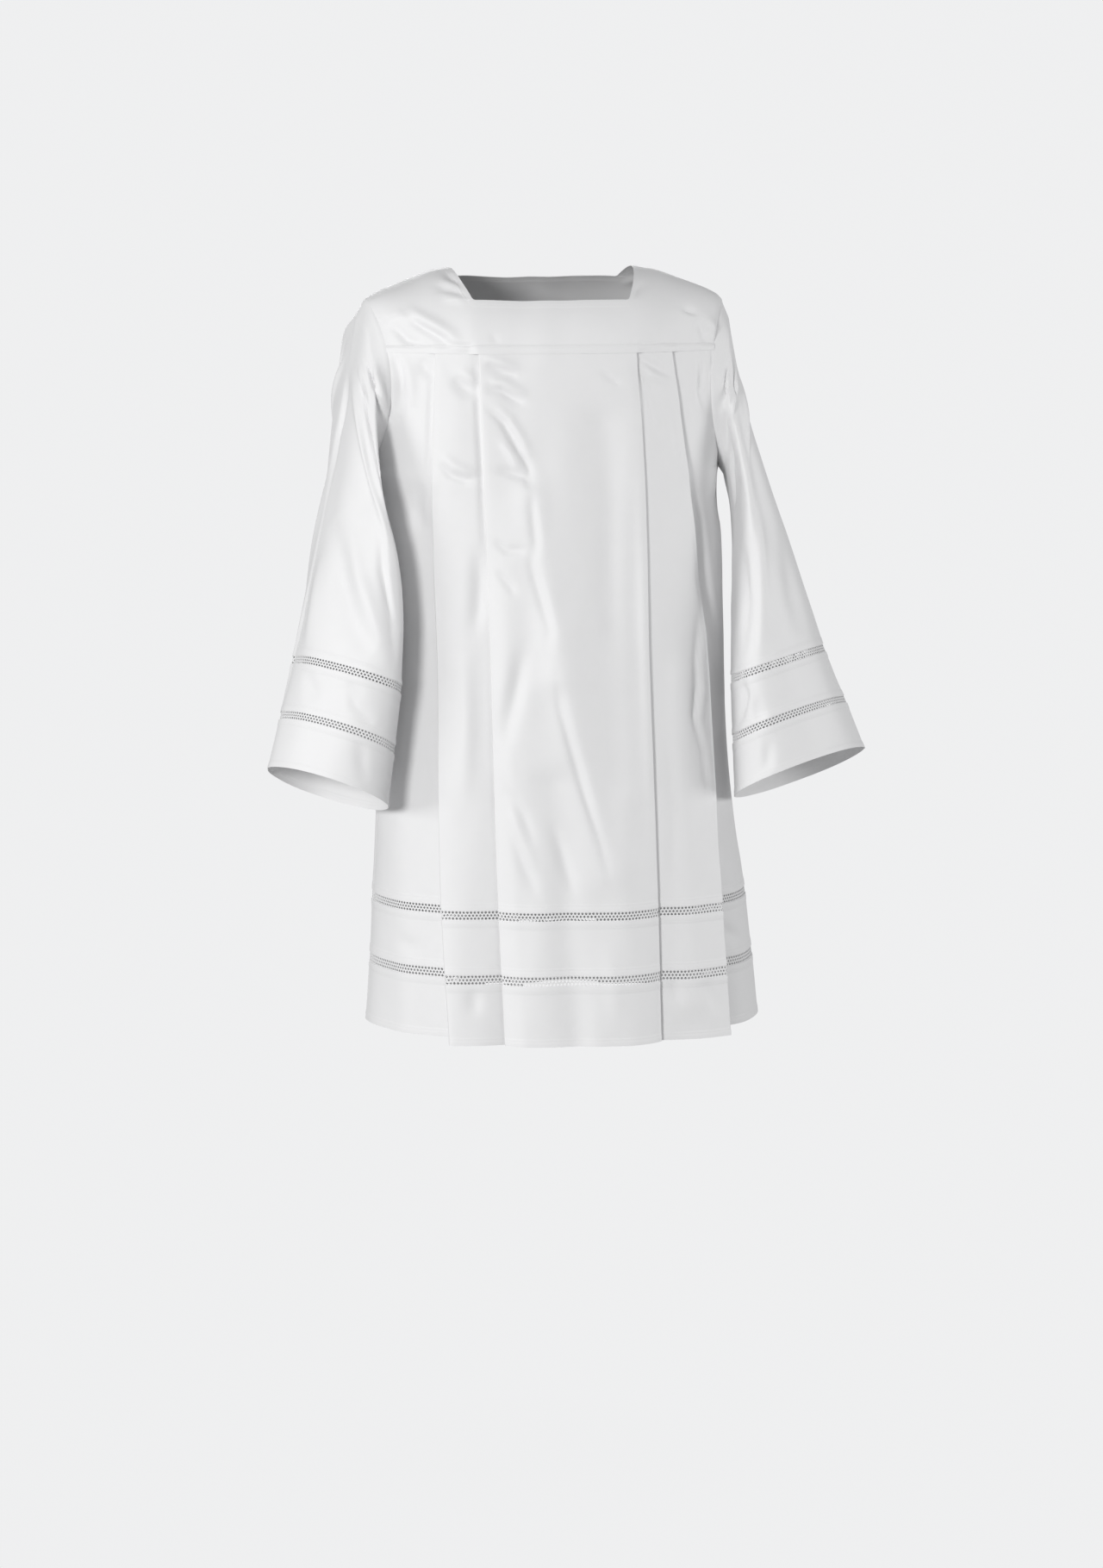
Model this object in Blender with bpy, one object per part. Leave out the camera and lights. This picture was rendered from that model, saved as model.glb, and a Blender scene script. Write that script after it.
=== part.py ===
"""A worn surplice as hollow cloth walls: square-necked yokes, a pleated skirt with two net
insertions, and two wide sleeves with the same insertions, each sewn piece its own solid.

Metres, +Z up, the front faces -Y and +X is the viewer's right. The origin lies between the
shoulders at the height of the neck corners, where the wearer's shoulders hold the garment.
"""

from collections import namedtuple
import math

import bpy
import numpy as np

WALL = 0.0012
SEAM = 0.0003
# The panels meet the sleeves at a sharp angle, so their middles are drawn back further there.
PANEL_DRAW = 0.00038
CREASED = math.radians(50)
# A row this near the underarm counts as on it.
NEAR = 0.001
WHITE = (0.86, 0.86, 0.87)
NET_WHITE = (0.80, 0.80, 0.81)

# The armhole is an upright oval on each side, and theta runs from its top round the front.
ARMHOLE_X = 0.212
ARMHOLE_Z = -0.136
ARMHOLE_HALF_HEIGHT = 0.100
ARMHOLE_HALF_DEPTH = 0.075
ARMHOLE_HOLLOW = 0.022
UNDERARM = ARMHOLE_Z - ARMHOLE_HALF_HEIGHT
# How far the cloth at the armhole faces outwards and upwards at its top, and outwards and
# forwards at its front.
TOP_OUT, TOP_UP = 0.75, 0.66
FRONT_OUT, FRONT_FORWARD = 0.4, 0.9

# Heights of the sewn lines round the skirt.
YOKE_SEAM = {"front": -0.094, "back": -0.112}
LACE_UPPER_TOP = -0.7465
LACE_UPPER_END = -0.7575
LACE_LOWER_TOP = -0.8215
LACE_LOWER_END = -0.8335
HEM = -0.9045
STRIP_MIDDLE, HEM_MIDDLE = -0.790, -0.870
# Heights of the body panels' rows. Those above the underarm end on the armhole.
PANEL_HEIGHTS = {
    "front": (
        (-0.094, -0.120, -0.150, -0.185, -0.215, UNDERARM)
        + (-0.290, -0.360, -0.440, -0.530, -0.640, LACE_UPPER_TOP)
    ),
    "back": (
        (-0.112, -0.145, -0.180, -0.212, UNDERARM)
        + (-0.300, -0.380, -0.480, -0.600, LACE_UPPER_TOP)
    ),
}

# The skirt's plan at each height: side seams, depth of the front and back base surfaces, how
# square its corners are, and how far each pleat stands open.
Section = namedtuple("Section", "height left right front back roundness outer_step inner_step")
SECTIONS = [
    Section(-0.094, -0.2120, 0.2120, 0.113, 0.100, 2.50, 0.0022, 0.0022),
    Section(-0.160, -0.2120, 0.2120, 0.121, 0.112, 2.50, 0.0030, 0.0024),
    Section(-0.236, -0.2120, 0.2120, 0.128, 0.118, 2.50, 0.0044, 0.0027),
    Section(-0.262, -0.2055, 0.2105, 0.130, 0.119, 2.46, 0.0050, 0.0029),
    Section(-0.320, -0.2000, 0.2140, 0.133, 0.120, 2.40, 0.0064, 0.0033),
    Section(-0.450, -0.1975, 0.2175, 0.138, 0.122, 2.30, 0.0100, 0.0044),
    Section(-0.600, -0.1990, 0.2250, 0.144, 0.130, 2.15, 0.0155, 0.0056),
    Section(-0.680, -0.2015, 0.2350, 0.148, 0.135, 2.10, 0.0182, 0.0060),
    Section(-0.750, -0.2060, 0.2460, 0.151, 0.141, 2.05, 0.0210, 0.0064),
    Section(-0.904, -0.2165, 0.2630, 0.158, 0.153, 2.00, 0.0270, 0.0070),
]

# Where each pressed fold lies, left to right, at each height.
Folds = namedtuple("Folds", "height outer_left inner_left inner_right outer_right")
PLEATS = {
    "front": [
        Folds(-0.094, -0.139, -0.0905, 0.0935, 0.139),
        Folds(-0.235, -0.145, -0.086, 0.101, 0.157),
        Folds(-0.450, -0.142, -0.081, 0.104, 0.182),
        Folds(-0.735, -0.1405, -0.0755, 0.112, 0.193),
        Folds(-0.904, -0.134, -0.0695, 0.115, 0.202),
    ],
    "back": [
        Folds(-0.112, -0.138, -0.088, 0.088, 0.138),
        Folds(-0.450, -0.142, -0.083, 0.100, 0.158),
        Folds(-0.904, -0.146, -0.070, 0.118, 0.190),
    ],
}
# How far each fold's underlay runs back towards the centre, and the gap pressed into it.
UNDERLAY = {
    "front": (0.034, 0.022, 0.018, 0.044),
    "back": (0.036, 0.022, 0.022, 0.036),
}
PINCH = 0.0022
# The part of its outer fold's lift that a panel keeps at the fold's end and at its inner side.
LIFT_KEPT = (0.8, 0.58)
# How far beyond the outer folds the yoke eases down to the panel's lower level.
PLEAT_EASE = 0.020
# Stations between a side edge and its outer fold, as parts of the way.
SIDE_PARTS = (0, 0.2, 0.4, 0.6, 0.8)

# Soft folds of the skirt, each along a line between two places seen from the front.
Crease = namedtuple("Crease", "face x_top z_top x_end z_end width lift")
SKIRT_CREASES = [
    Crease("front", -0.030, -0.260, -0.008, -0.470, 0.020, 0.0050),
    Crease("front", 0.010, -0.420, 0.050, -0.700, 0.024, 0.0050),
    Crease("front", 0.052, -0.180, 0.062, -0.420, 0.022, -0.0040),
    Crease("front", -0.010, -0.600, 0.012, -0.900, 0.022, -0.0050),
    Crease("front", 0.070, -0.620, 0.078, -0.900, 0.020, 0.0045),
    Crease("front", -0.178, -0.300, -0.176, -0.900, 0.018, 0.0045),
    Crease("front", 0.140, -0.480, 0.150, -0.860, 0.020, 0.0045),
    Crease("front", 0.214, -0.720, 0.226, -0.900, 0.020, 0.0040),
    Crease("back", -0.036, -0.250, -0.040, -0.900, 0.022, 0.0060),
    Crease("back", 0.030, -0.330, 0.060, -0.900, 0.024, 0.0060),
    Crease("back", 0.000, -0.500, 0.012, -0.900, 0.020, -0.0050),
    Crease("back", -0.176, -0.320, -0.180, -0.900, 0.018, 0.0050),
    Crease("back", 0.190, -0.320, 0.220, -0.900, 0.020, 0.0050),
]

# The shoulder line from the neck corner to the armhole, and the neck opening's depth.
Shoulder = namedtuple("Shoulder", "x height")
SHOULDER = [
    Shoulder(0.000, 0.0000),
    Shoulder(0.110, 0.0000),
    Shoulder(0.135, -0.0040),
    Shoulder(0.155, -0.0110),
    Shoulder(0.176, -0.0190),
    Shoulder(0.197, -0.0278),
    Shoulder(0.212, -0.0360),
]
NECK_TOP_HALF = 0.109
NECK_END_HALF = {"front": 0.092, "back": 0.100}
NECK_TURN = {"front": 48, "back": 30}
YOKE_TURNS = {"front": (0, 16, 32, 48, 62, 76, 90), "back": (0, 15, 30, 45, 60, 75, 90)}
SHOULDER_STEPS, NECK_STEPS = 5, 8
# The part of the way out at which a yoke starts to turn towards its armhole.
YOKE_BLEND = 0.6

# Each sleeve's rings: outer and inner edge points, and the vector from centre to front.
Ring = namedtuple(
    "Ring", "way outer_x outer_y outer_z inner_x inner_y inner_z front_x front_y front_z"
)
SLEEVES = {
    "left": [
        Ring(0.08, -0.2235, -0.003, -0.060, -0.2200, -0.010, -0.248, 0.014, -0.080, 0.000),
        Ring(0.30, -0.2360, -0.012, -0.130, -0.2130, -0.045, -0.295, 0.014, -0.085, 0.004),
        Ring(0.55, -0.2545, -0.028, -0.232, -0.1900, -0.085, -0.352, 0.014, -0.080, 0.008),
        Ring(0.78, -0.2790, -0.045, -0.340, -0.1830, -0.105, -0.415, 0.012, -0.074, 0.010),
        Ring(1.00, -0.3047, -0.060, -0.4527, -0.1850, -0.115, -0.484, 0.006, -0.070, 0.012),
        Ring(2.00, -0.3377, -0.075, -0.5846, -0.1995, -0.100, -0.632, 0.004, -0.070, 0.020),
    ],
    "right": [
        Ring(0.08, 0.2235, 0.000, -0.062, 0.2200, -0.004, -0.248, -0.012, -0.078, 0.000),
        Ring(0.30, 0.2370, -0.004, -0.142, 0.2270, -0.020, -0.298, -0.008, -0.080, 0.004),
        Ring(0.55, 0.2640, -0.013, -0.235, 0.2245, -0.045, -0.358, -0.008, -0.079, 0.008),
        Ring(0.78, 0.3005, -0.022, -0.343, 0.2175, -0.070, -0.418, -0.010, -0.078, 0.010),
        Ring(1.00, 0.3359, -0.030, -0.4537, 0.2140, -0.088, -0.481, -0.010, -0.079, 0.012),
        Ring(2.00, 0.3871, -0.035, -0.5820, 0.2175, -0.096, -0.626, -0.010, -0.080, 0.024),
    ],
}
# Soft folds of the sleeves: turns are round the ring, ways are down the sleeve, and the
# width is in degrees round the ring.
Furrow = namedtuple("Furrow", "side turn_top way_top turn_end way_end width lift")
SLEEVE_FURROWS = [
    Furrow("left", 118, 0.06, 150, 0.42, 16, -0.0080),
    Furrow("left", 60, 0.05, 72, 0.50, 16, -0.0045),
    Furrow("left", 30, 0.10, 40, 1.00, 16, 0.0040),
    Furrow("left", 250, 0.06, 236, 0.80, 20, -0.0060),
    Furrow("left", 310, 0.10, 300, 1.60, 20, 0.0050),
    Furrow("right", 112, 0.06, 140, 0.45, 16, -0.0080),
    Furrow("right", 64, 0.05, 70, 0.55, 16, -0.0045),
    Furrow("right", 36, 0.10, 44, 1.10, 16, 0.0040),
    Furrow("right", 250, 0.06, 240, 0.85, 20, -0.0060),
    Furrow("right", 310, 0.10, 302, 1.60, 20, 0.0050),
]
SLEEVE_WAYS = (0.0, 0.08, 0.18, 0.30, 0.42, 0.55, 0.70, 0.85, 1.0)
# Sewn lines below the sleeve proper, as the part of the way from first lace to cuff edge.
DEGREES_PER_WAY = 90
SLEEVE_LACE_UPPER_END = 1.075
SLEEVE_LACE_LOWER_TOP = 1.495
SLEEVE_LACE_LOWER_END = 1.570
CUFF_EDGE = 2.0
SLEEVE_PIECES = (
    ("sleeve", SLEEVE_WAYS, WHITE),
    ("sleeve_lace_upper", (1.0, SLEEVE_LACE_UPPER_END), NET_WHITE),
    ("sleeve_strip", (SLEEVE_LACE_UPPER_END, 1.22, 1.36, SLEEVE_LACE_LOWER_TOP), WHITE),
    ("sleeve_lace_lower", (SLEEVE_LACE_LOWER_TOP, SLEEVE_LACE_LOWER_END), NET_WHITE),
    ("cuff", (SLEEVE_LACE_LOWER_END, 1.71, 1.86, CUFF_EDGE), WHITE),
)


def curve(table, column, places):
    """One named column of a table at these places, on a smooth curve through its rows."""
    keys = np.array([row[0] for row in table])
    values = np.array([getattr(row, column) for row in table])
    order = np.argsort(keys)
    keys, values = keys[order], values[order]
    slopes = np.gradient(values, keys)
    places = np.clip(places, keys[0], keys[-1])
    step = np.clip(np.searchsorted(keys, places) - 1, 0, len(keys) - 2)
    span = keys[step + 1] - keys[step]
    t = (places - keys[step]) / span
    ends = values[step] * (1 + 2 * t) * (1 - t) ** 2 + values[step + 1] * t**2 * (3 - 2 * t)
    return ends + span * (slopes[step] * t * (1 - t) ** 2 - slopes[step + 1] * t**2 * (1 - t))


def unit(vectors):
    return vectors / np.linalg.norm(vectors, axis=-1, keepdims=True)


def along_line(x, z, x_top, z_top, x_end, z_end, width, lift):
    """Height of a soft ridge or trough that fades out from a straight line."""
    line = np.array([x_end - x_top, z_end - z_top])
    t = ((x - x_top) * line[0] + (z - z_top) * line[1]) / (line @ line)
    t = np.clip(t, 0, 1)
    gap = np.hypot(x - x_top - t * line[0], z - z_top - t * line[1])
    return lift * np.exp(-((gap / width) ** 2))


def armhole(side, theta):
    """Points of one armhole, the outward directions its walls share, and the way to the sleeve."""
    theta = np.radians(theta)
    hand = -1.0 if side == "left" else 1.0
    high = (1 + np.cos(theta)) / 2
    points = np.stack(
        [
            hand * (ARMHOLE_X - ARMHOLE_HOLLOW * np.sin(theta) ** 2),
            -ARMHOLE_HALF_DEPTH * np.sin(theta),
            ARMHOLE_Z + ARMHOLE_HALF_HEIGHT * np.cos(theta),
        ],
        axis=-1,
    )
    out = np.stack(
        [
            hand * (TOP_OUT * high + FRONT_OUT * np.sin(theta) ** 2),
            -FRONT_FORWARD * np.sin(theta),
            TOP_UP * high - (1 - high),
        ],
        axis=-1,
    )
    out = unit(out)
    run = np.stack(
        [
            -2 * hand * ARMHOLE_HOLLOW * np.sin(theta) * np.cos(theta),
            -ARMHOLE_HALF_DEPTH * np.cos(theta),
            -ARMHOLE_HALF_HEIGHT * np.sin(theta),
        ],
        axis=-1,
    )
    apart = unit(np.cross(out, run))
    return points, out, apart * np.sign(apart[..., :1]) * hand


def armhole_angle(height):
    """Angle on the front half of the armhole at this height."""
    drop = np.clip((height - ARMHOLE_Z) / ARMHOLE_HALF_HEIGHT, -1, 1)
    return np.degrees(np.arccos(drop))


def base(face, height, alpha):
    """Point and outward direction on the skirt's base surface. Alpha is -90 at the left seam."""
    left = curve(SECTIONS, "left", height)
    right = curve(SECTIONS, "right", height)
    depth = curve(SECTIONS, face, height)
    forward = -1.0 if face == "front" else 1.0
    half = (right - left) / 2
    square = float(curve(SECTIONS, "roundness", height))
    sine, cosine = np.sin(alpha), np.maximum(np.cos(alpha), 0)
    across = np.sign(sine) * abs(sine) ** (2 / square)
    deep = cosine ** (2 / square)
    point = np.array([(left + right) / 2 + half * across, forward * depth * deep, height])
    steep = np.sign(sine) * abs(across) ** (square - 1) / half
    out = unit(np.array([steep, forward * deep ** (square - 1) / depth, 0.0]))
    return point, out


def alpha_at(height, x):
    """The base surface's angle at this distance across."""
    left = curve(SECTIONS, "left", height)
    right = curve(SECTIONS, "right", height)
    square = float(curve(SECTIONS, "roundness", height))
    across = (2 * x - left - right) / (right - left)
    return math.copysign(math.asin(min(abs(across), 1) ** (square / 2)), across)


def half_path(face, height, way):
    """Stations from one side seam to the centre: angle, lift off the base, shift across.

    Way is -1 on the left and 1 on the right. Each pleat is a flat Z: the lower panel runs
    under the fold, turns back to its edge, and turns again as the panel above.
    """
    names = ("outer_left", "inner_left") if way < 0 else ("outer_right", "inner_right")
    widths = UNDERLAY[face][:2] if way < 0 else UNDERLAY[face][:1:-1]
    stations = []
    levels = (0.0, 0.0, 0.0)
    for name, width, step in zip(names, widths, ("outer_step", "inner_step")):
        edge = float(curve(PLEATS[face], name, height))
        turns = [alpha_at(height, edge - way * width * part) for part in (0, 0.5, 1)]
        rise = 2 * max(float(curve(SECTIONS, step, height)), PINCH)
        if not stations:
            end = way * math.pi / 2
            if height > UNDERARM:
                seam_x = armhole("right", armhole_angle(height))[0][0]
                end = alpha_at(height, way * seam_x)
            stations += [(end + (turns[0] - end) * part, 0.0, 0.0) for part in SIDE_PARTS]
        below = levels[-1]
        top = below + rise
        stations += [(turn, below, 0.0) for turn in turns]
        stations += [(turns[2], below + PINCH / 2, -way * PINCH / 2)]
        stations += [(turns[2], below + PINCH, 0.0)]
        stations += [(turns[1], (below + top) / 2, 0.0)]
        stations += [(turns[0], top - PINCH, 0.0)]
        stations += [(turns[0], top - PINCH / 2, way * PINCH / 2)]
        kept = LIFT_KEPT if name == names[0] else (1.0, 1.0)
        levels = [top, *(max(below + rise * part, below + 2 * PINCH) for part in kept)]
        middle = (levels[0] + levels[1]) / 2
        stations += [(turns[0], top, 0.0), (turns[1], middle, 0.0), (turns[2], levels[1], 0.0)]
    return stations


def skirt_row(face, height):
    """Points of the pleated wall at one height, from the left side seam to the right."""
    left = half_path(face, height, -1)
    right = half_path(face, height, 1)[::-1]
    gap = right[0][0] - left[-1][0]
    middle = [(left[-1][0] + gap * part, left[-1][1], 0.0) for part in (0.25, 0.5, 0.75)]
    forward = -1.0 if face == "front" else 1.0
    creases = [crease for crease in SKIRT_CREASES if crease.face == face]
    row = []
    for alpha, lift, shift in left + middle + right:
        point, out = base(face, height, alpha)
        wave = sum(along_line(point[0], height, *crease[1:]) for crease in creases)
        row.append(point + [shift, forward * lift, 0] + out * wave)
    row = np.array(row)
    if height > UNDERARM:
        count = len(SIDE_PARTS)
        for ends, side in ((range(count), "left"), (range(-1, -1 - count, -1), "right")):
            seam = armhole(side, armhole_angle(height))[0]
            seam[1] *= 1.0 if face == "front" else -1.0
            move = seam - row[ends[0]]
            for part, index in zip(SIDE_PARTS, ends):
                row[index] += move * (1 - part) ** 2
    else:
        row[0, 1] = row[-1, 1] = 0.0
    return row if face == "front" else row[::-1]


def outward(mid, ring):
    """Mitred outward directions of a grid whose rows run down and columns run round."""
    down = np.gradient(mid, axis=0)
    beyond = mid[:, :1] if ring else mid[:, -1:] * 2 - mid[:, -2:-1]
    step = np.diff(mid, axis=1, append=beyond)
    after = unit(np.cross(down, step))
    before = np.roll(after, 1, axis=1)
    if not ring:
        before[:, 0] = after[:, 0]
        after[:, -1] = before[:, -1]
    return (before + after) / (1 + np.sum(before * after, axis=-1, keepdims=True))


def wall(name, mid, out, colour, ring=False, missing=None):
    """A closed cloth wall round a grid of middle points, as one object."""
    rows, columns = mid.shape[:2]
    across = columns if ring else columns - 1
    cells = {(r, c) for r in range(rows - 1) for c in range(across)} - (missing or set())
    outside, inside = (mid + out * WALL / 2).reshape(-1, 3), (mid - out * WALL / 2).reshape(-1, 3)
    points = np.concatenate([outside, inside])
    under = rows * columns
    faces = []
    for r, c in sorted(cells):
        beside = (c + 1) % columns
        before, after = ((c - 1) % columns, beside) if ring else (c - 1, c + 1)
        here, below = r * columns, (r + 1) * columns
        corners = [here + c, below + c, below + beside, here + beside]
        faces.append(corners)
        faces.append([corner + under for corner in reversed(corners)])
        neighbours = [(r, before), (r + 1, c), (r, after), (r - 1, c)]
        for edge, neighbour in enumerate(neighbours):
            if neighbour not in cells:
                a, b = corners[edge], corners[(edge + 1) % 4]
                faces.append([b, a, a + under, b + under])
    used = sorted({corner for face in faces for corner in face})
    place = {corner: index for index, corner in enumerate(used)}
    faces = [[place[corner] for corner in face] for face in faces]
    mesh = bpy.data.meshes.new(name)
    mesh.from_pydata(points[used].tolist(), [], faces)
    mesh.shade_smooth()
    mesh.set_sharp_from_angle(angle=CREASED)
    mesh.materials.append(material(name, colour))
    piece = bpy.data.objects.new(name, mesh)
    collection.objects.link(piece)


def material(name, colour):
    cloth = bpy.data.materials.new(name)
    cloth.use_nodes = True
    shader = cloth.node_tree.nodes["Principled BSDF"]
    shader.inputs["Base Color"].default_value = (*colour, 1)
    shader.inputs["Roughness"].default_value = 0.62
    shader.inputs["Metallic"].default_value = 0.0
    return cloth


def skirt_piece(name, face, heights, colour):
    """One stretch of the skirt, its ends drawn back by half a seam gap."""
    heights = list(heights)
    heights[0] -= SEAM / 2
    heights[-1] += SEAM / 2 if heights[-1] > HEM else 0
    mid = np.array([skirt_row(face, height) for height in heights])
    out = outward(mid, False)
    out[[0, -1], :, 2] = 0
    forward = -1.0 if face == "front" else 1.0
    for row, height in enumerate(heights):
        for column in (0, -1):
            side = "left" if (column == 0) == (face == "front") else "right"
            if height > UNDERARM - NEAR:
                shared, apart = armhole(side, armhole_angle(height))[1:]
                out[row, column] = shared * [1, -forward, 1]
                mid[row, column] -= apart * [1, -forward, 1] * PANEL_DRAW
            else:
                out[row, column] = [-1.0 if side == "left" else 1.0, 0, 0]
            if height < UNDERARM + NEAR:
                mid[row, column, 1] = forward * SEAM / 2
    wall(name, mid, out, colour)


def yoke_point(face, part, turn):
    """Point of a yoke. Part is -1 to 1 across, turn 0 on the shoulder and 90 at its seam."""
    seam = YOKE_SEAM[face]
    forward = -1.0 if face == "front" else 1.0
    edge_angle = armhole_angle(seam) * turn / 90
    side = "left" if part < 0 else "right"
    edge = armhole(side, edge_angle)[0] * [1, -forward, 1]
    x = abs(part) * abs(edge[0])
    top = curve(SHOULDER, "height", x)
    inner, outer = PLEATS[face][0].inner_right, PLEATS[face][0].outer_right + PLEAT_EASE
    flat = np.clip((outer - x) / (outer - inner), 0, 1)
    cover = 4 * PINCH * flat**2 * (3 - 2 * flat)
    depth = abs(base(face, seam, alpha_at(seam, x))[0][1]) + cover
    last_depth = abs(base(face, seam, alpha_at(seam, abs(edge[0])))[0][1])
    last_top = curve(SHOULDER, "height", abs(edge[0]))
    ahead, upright = forward * math.sin(math.radians(turn)), math.cos(math.radians(turn))
    point = np.array([math.copysign(x, part), depth * ahead, seam + (top - seam) * upright])
    last = np.array([edge[0], last_depth * ahead, seam + (last_top - seam) * upright])
    near = np.clip((abs(part) - YOKE_BLEND) / (1 - YOKE_BLEND), 0, 1)
    return point + (edge - last) * near**2 * (3 - 2 * near)


def yoke(face):
    """A yoke: a grid that drops forward from the shoulder line, without its square neck."""
    turns = YOKE_TURNS[face]
    neck_row = turns.index(NECK_TURN[face])
    mid = []
    for row, turn in enumerate(turns):
        slant = min(row / neck_row, 1)
        half = NECK_TOP_HALF + (NECK_END_HALF[face] - NECK_TOP_HALF) * slant
        corner = half / abs(yoke_point(face, 1, turn)[0])
        shoulder = list(np.linspace(-1, -corner, SHOULDER_STEPS + 1)[:-1])
        inside = list(np.linspace(-corner, corner, NECK_STEPS + 1))
        parts = shoulder + inside + [-part for part in reversed(shoulder)]
        mid.append([yoke_point(face, part, turn) for part in parts])
    mid = np.array(mid)
    if face == "back":
        mid = mid[:, ::-1]
    out = outward(mid, False)
    forward = -1.0 if face == "front" else 1.0
    for row, turn in enumerate(turns):
        for column in (0, -1):
            side = "left" if (column == 0) == (face == "front") else "right"
            shared, apart = armhole(side, armhole_angle(YOKE_SEAM[face]) * turn / 90)[1:]
            out[row, column] = shared * [1, -forward, 1]
            mid[row, column] -= apart * [1, -forward, 1] * SEAM / 2
    out[0, :, 1] = 0
    out[0] = unit(out[0])
    out[-1, :, 2] = 0
    mid[0, :, 1] = forward * SEAM / 2
    mid[-1, :, 2] += SEAM / 2
    across = range(SHOULDER_STEPS, SHOULDER_STEPS + NECK_STEPS)
    missing = {(r, c) for r in range(neck_row) for c in across}
    wall(f"{face}_yoke", mid, out, WHITE, missing=missing)


def sleeve_angles():
    """The ring angles of every armhole point that a yoke or a panel ends on."""
    ends = {}
    for face in ("front", "back"):
        heights = [height for height in PANEL_HEIGHTS[face][1:] if height > UNDERARM]
        ends[face] = [armhole_angle(YOKE_SEAM[face]) * turn / 90 for turn in YOKE_TURNS[face]]
        ends[face] += [armhole_angle(height) for height in heights]
    return ends["front"] + [180.0] + [360 - angle for angle in reversed(ends["back"]) if angle > 0]


def sleeve_ring(side, way, angles):
    """Points of one sleeve ring. Way is 0 at the armhole, 1 at the first lace, 2 at the cuff."""
    if 1 < way < CUFF_EDGE:
        ends = [sleeve_ring(side, end, angles) for end in (1, CUFF_EDGE)]
        return ends[0] * (CUFF_EDGE - way) + ends[1] * (way - 1)
    table = SLEEVES[side]
    hole = armhole(side, angles)[0]
    near = min(way, table[0].way) / table[0].way
    place = max(way, table[0].way)
    outer, inner, front = (
        np.array([float(curve(table, f"{what}_{axis}", place)) for axis in "xyz"])
        for what in ("outer", "inner", "front")
    )
    turn = np.radians(angles)[:, None]
    spoke = (outer - inner) / 2 * np.cos(turn) + front * np.sin(turn)
    lift = np.zeros(len(angles))
    for furrow in SLEEVE_FURROWS:
        if furrow.side == side:
            top = (furrow.turn_top, furrow.way_top * DEGREES_PER_WAY)
            end = (furrow.turn_end, furrow.way_end * DEGREES_PER_WAY)
            down = np.full(len(angles), way * DEGREES_PER_WAY)
            lift += along_line(angles, down, *top, *end, furrow.width, furrow.lift)
    points = (outer + inner) / 2 + spoke + unit(spoke) * lift[:, None]
    return hole * (1 - near) + points * near


def sleeve_piece(name, side, ways, angles, colour):
    """One stretch of a sleeve, its ends drawn back by half a seam gap."""
    mid = np.array([sleeve_ring(side, way, angles) for way in ways])
    hand = 1 if side == "left" else -1
    out = outward(mid, True) * hand
    quarter = len(angles) // 4
    for row, beside in ((0, 1), (-1, -2)):
        centre = mid[row].mean(axis=0)
        across = unit(np.cross(mid[row, 0] - centre, mid[row, quarter] - centre))
        out[row] -= (out[row] @ across)[:, None] * across
        if ways[row] < CUFF_EDGE:
            inward = mid[beside].mean(axis=0) - centre
            mid[row] += across * np.sign(across @ inward) * SEAM / 2
    if ways[0] == 0:
        hole, out[0], apart = armhole(side, angles)
        mid[0] = hole + apart * SEAM / 2
    if hand < 0:
        mid, out = mid[:, ::-1], out[:, ::-1]
    wall(name, mid, out, colour, ring=True)


def make_surplice():
    for face in ("front", "back"):
        yoke(face)
        skirt_piece(f"{face}_panel", face, PANEL_HEIGHTS[face], WHITE)
        skirt_piece(f"{face}_lace_upper", face, (LACE_UPPER_TOP, LACE_UPPER_END), NET_WHITE)
        skirt_piece(f"{face}_strip", face, (LACE_UPPER_END, STRIP_MIDDLE, LACE_LOWER_TOP), WHITE)
        skirt_piece(f"{face}_lace_lower", face, (LACE_LOWER_TOP, LACE_LOWER_END), NET_WHITE)
        skirt_piece(f"{face}_hem", face, (LACE_LOWER_END, HEM_MIDDLE, HEM), WHITE)
    angles = np.array(sleeve_angles())
    for side in ("left", "right"):
        for part, ways, colour in SLEEVE_PIECES:
            sleeve_piece(f"{side}_{part}", side, ways, angles, colour)


for thing in list(bpy.data.objects):
    bpy.data.objects.remove(thing)
collection = bpy.data.collections.new("surplice")
bpy.context.scene.collection.children.link(collection)
make_surplice()
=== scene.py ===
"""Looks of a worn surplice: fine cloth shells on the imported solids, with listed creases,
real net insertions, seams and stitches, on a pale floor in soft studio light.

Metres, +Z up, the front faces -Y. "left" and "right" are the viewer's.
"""

from collections import namedtuple
import math

import bpy
import numpy as np
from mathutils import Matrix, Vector


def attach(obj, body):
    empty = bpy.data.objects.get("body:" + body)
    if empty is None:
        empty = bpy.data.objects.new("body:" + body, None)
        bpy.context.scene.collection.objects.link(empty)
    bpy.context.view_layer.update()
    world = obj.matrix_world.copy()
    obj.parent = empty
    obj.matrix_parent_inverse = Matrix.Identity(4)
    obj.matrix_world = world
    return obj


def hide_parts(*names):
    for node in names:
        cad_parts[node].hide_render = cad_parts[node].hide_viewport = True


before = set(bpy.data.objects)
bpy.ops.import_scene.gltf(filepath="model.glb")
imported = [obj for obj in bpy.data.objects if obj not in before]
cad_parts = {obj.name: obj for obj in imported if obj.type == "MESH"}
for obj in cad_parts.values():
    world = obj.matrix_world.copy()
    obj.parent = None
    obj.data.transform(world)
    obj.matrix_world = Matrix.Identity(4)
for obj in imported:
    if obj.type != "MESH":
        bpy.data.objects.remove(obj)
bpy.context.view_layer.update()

# The camera stands to the viewer's left of the garment's front and looks a little down.
CAMERA_PLACE = (-0.7794, -5.5455, 0.24)
CAMERA_TURN, CAMERA_DROP = 8.105, 8.75
CAMERA_LENS, SENSOR_WIDTH, CLIP_END = 107.6, 36.0, 60.0
FLOOR = -1.47

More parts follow.
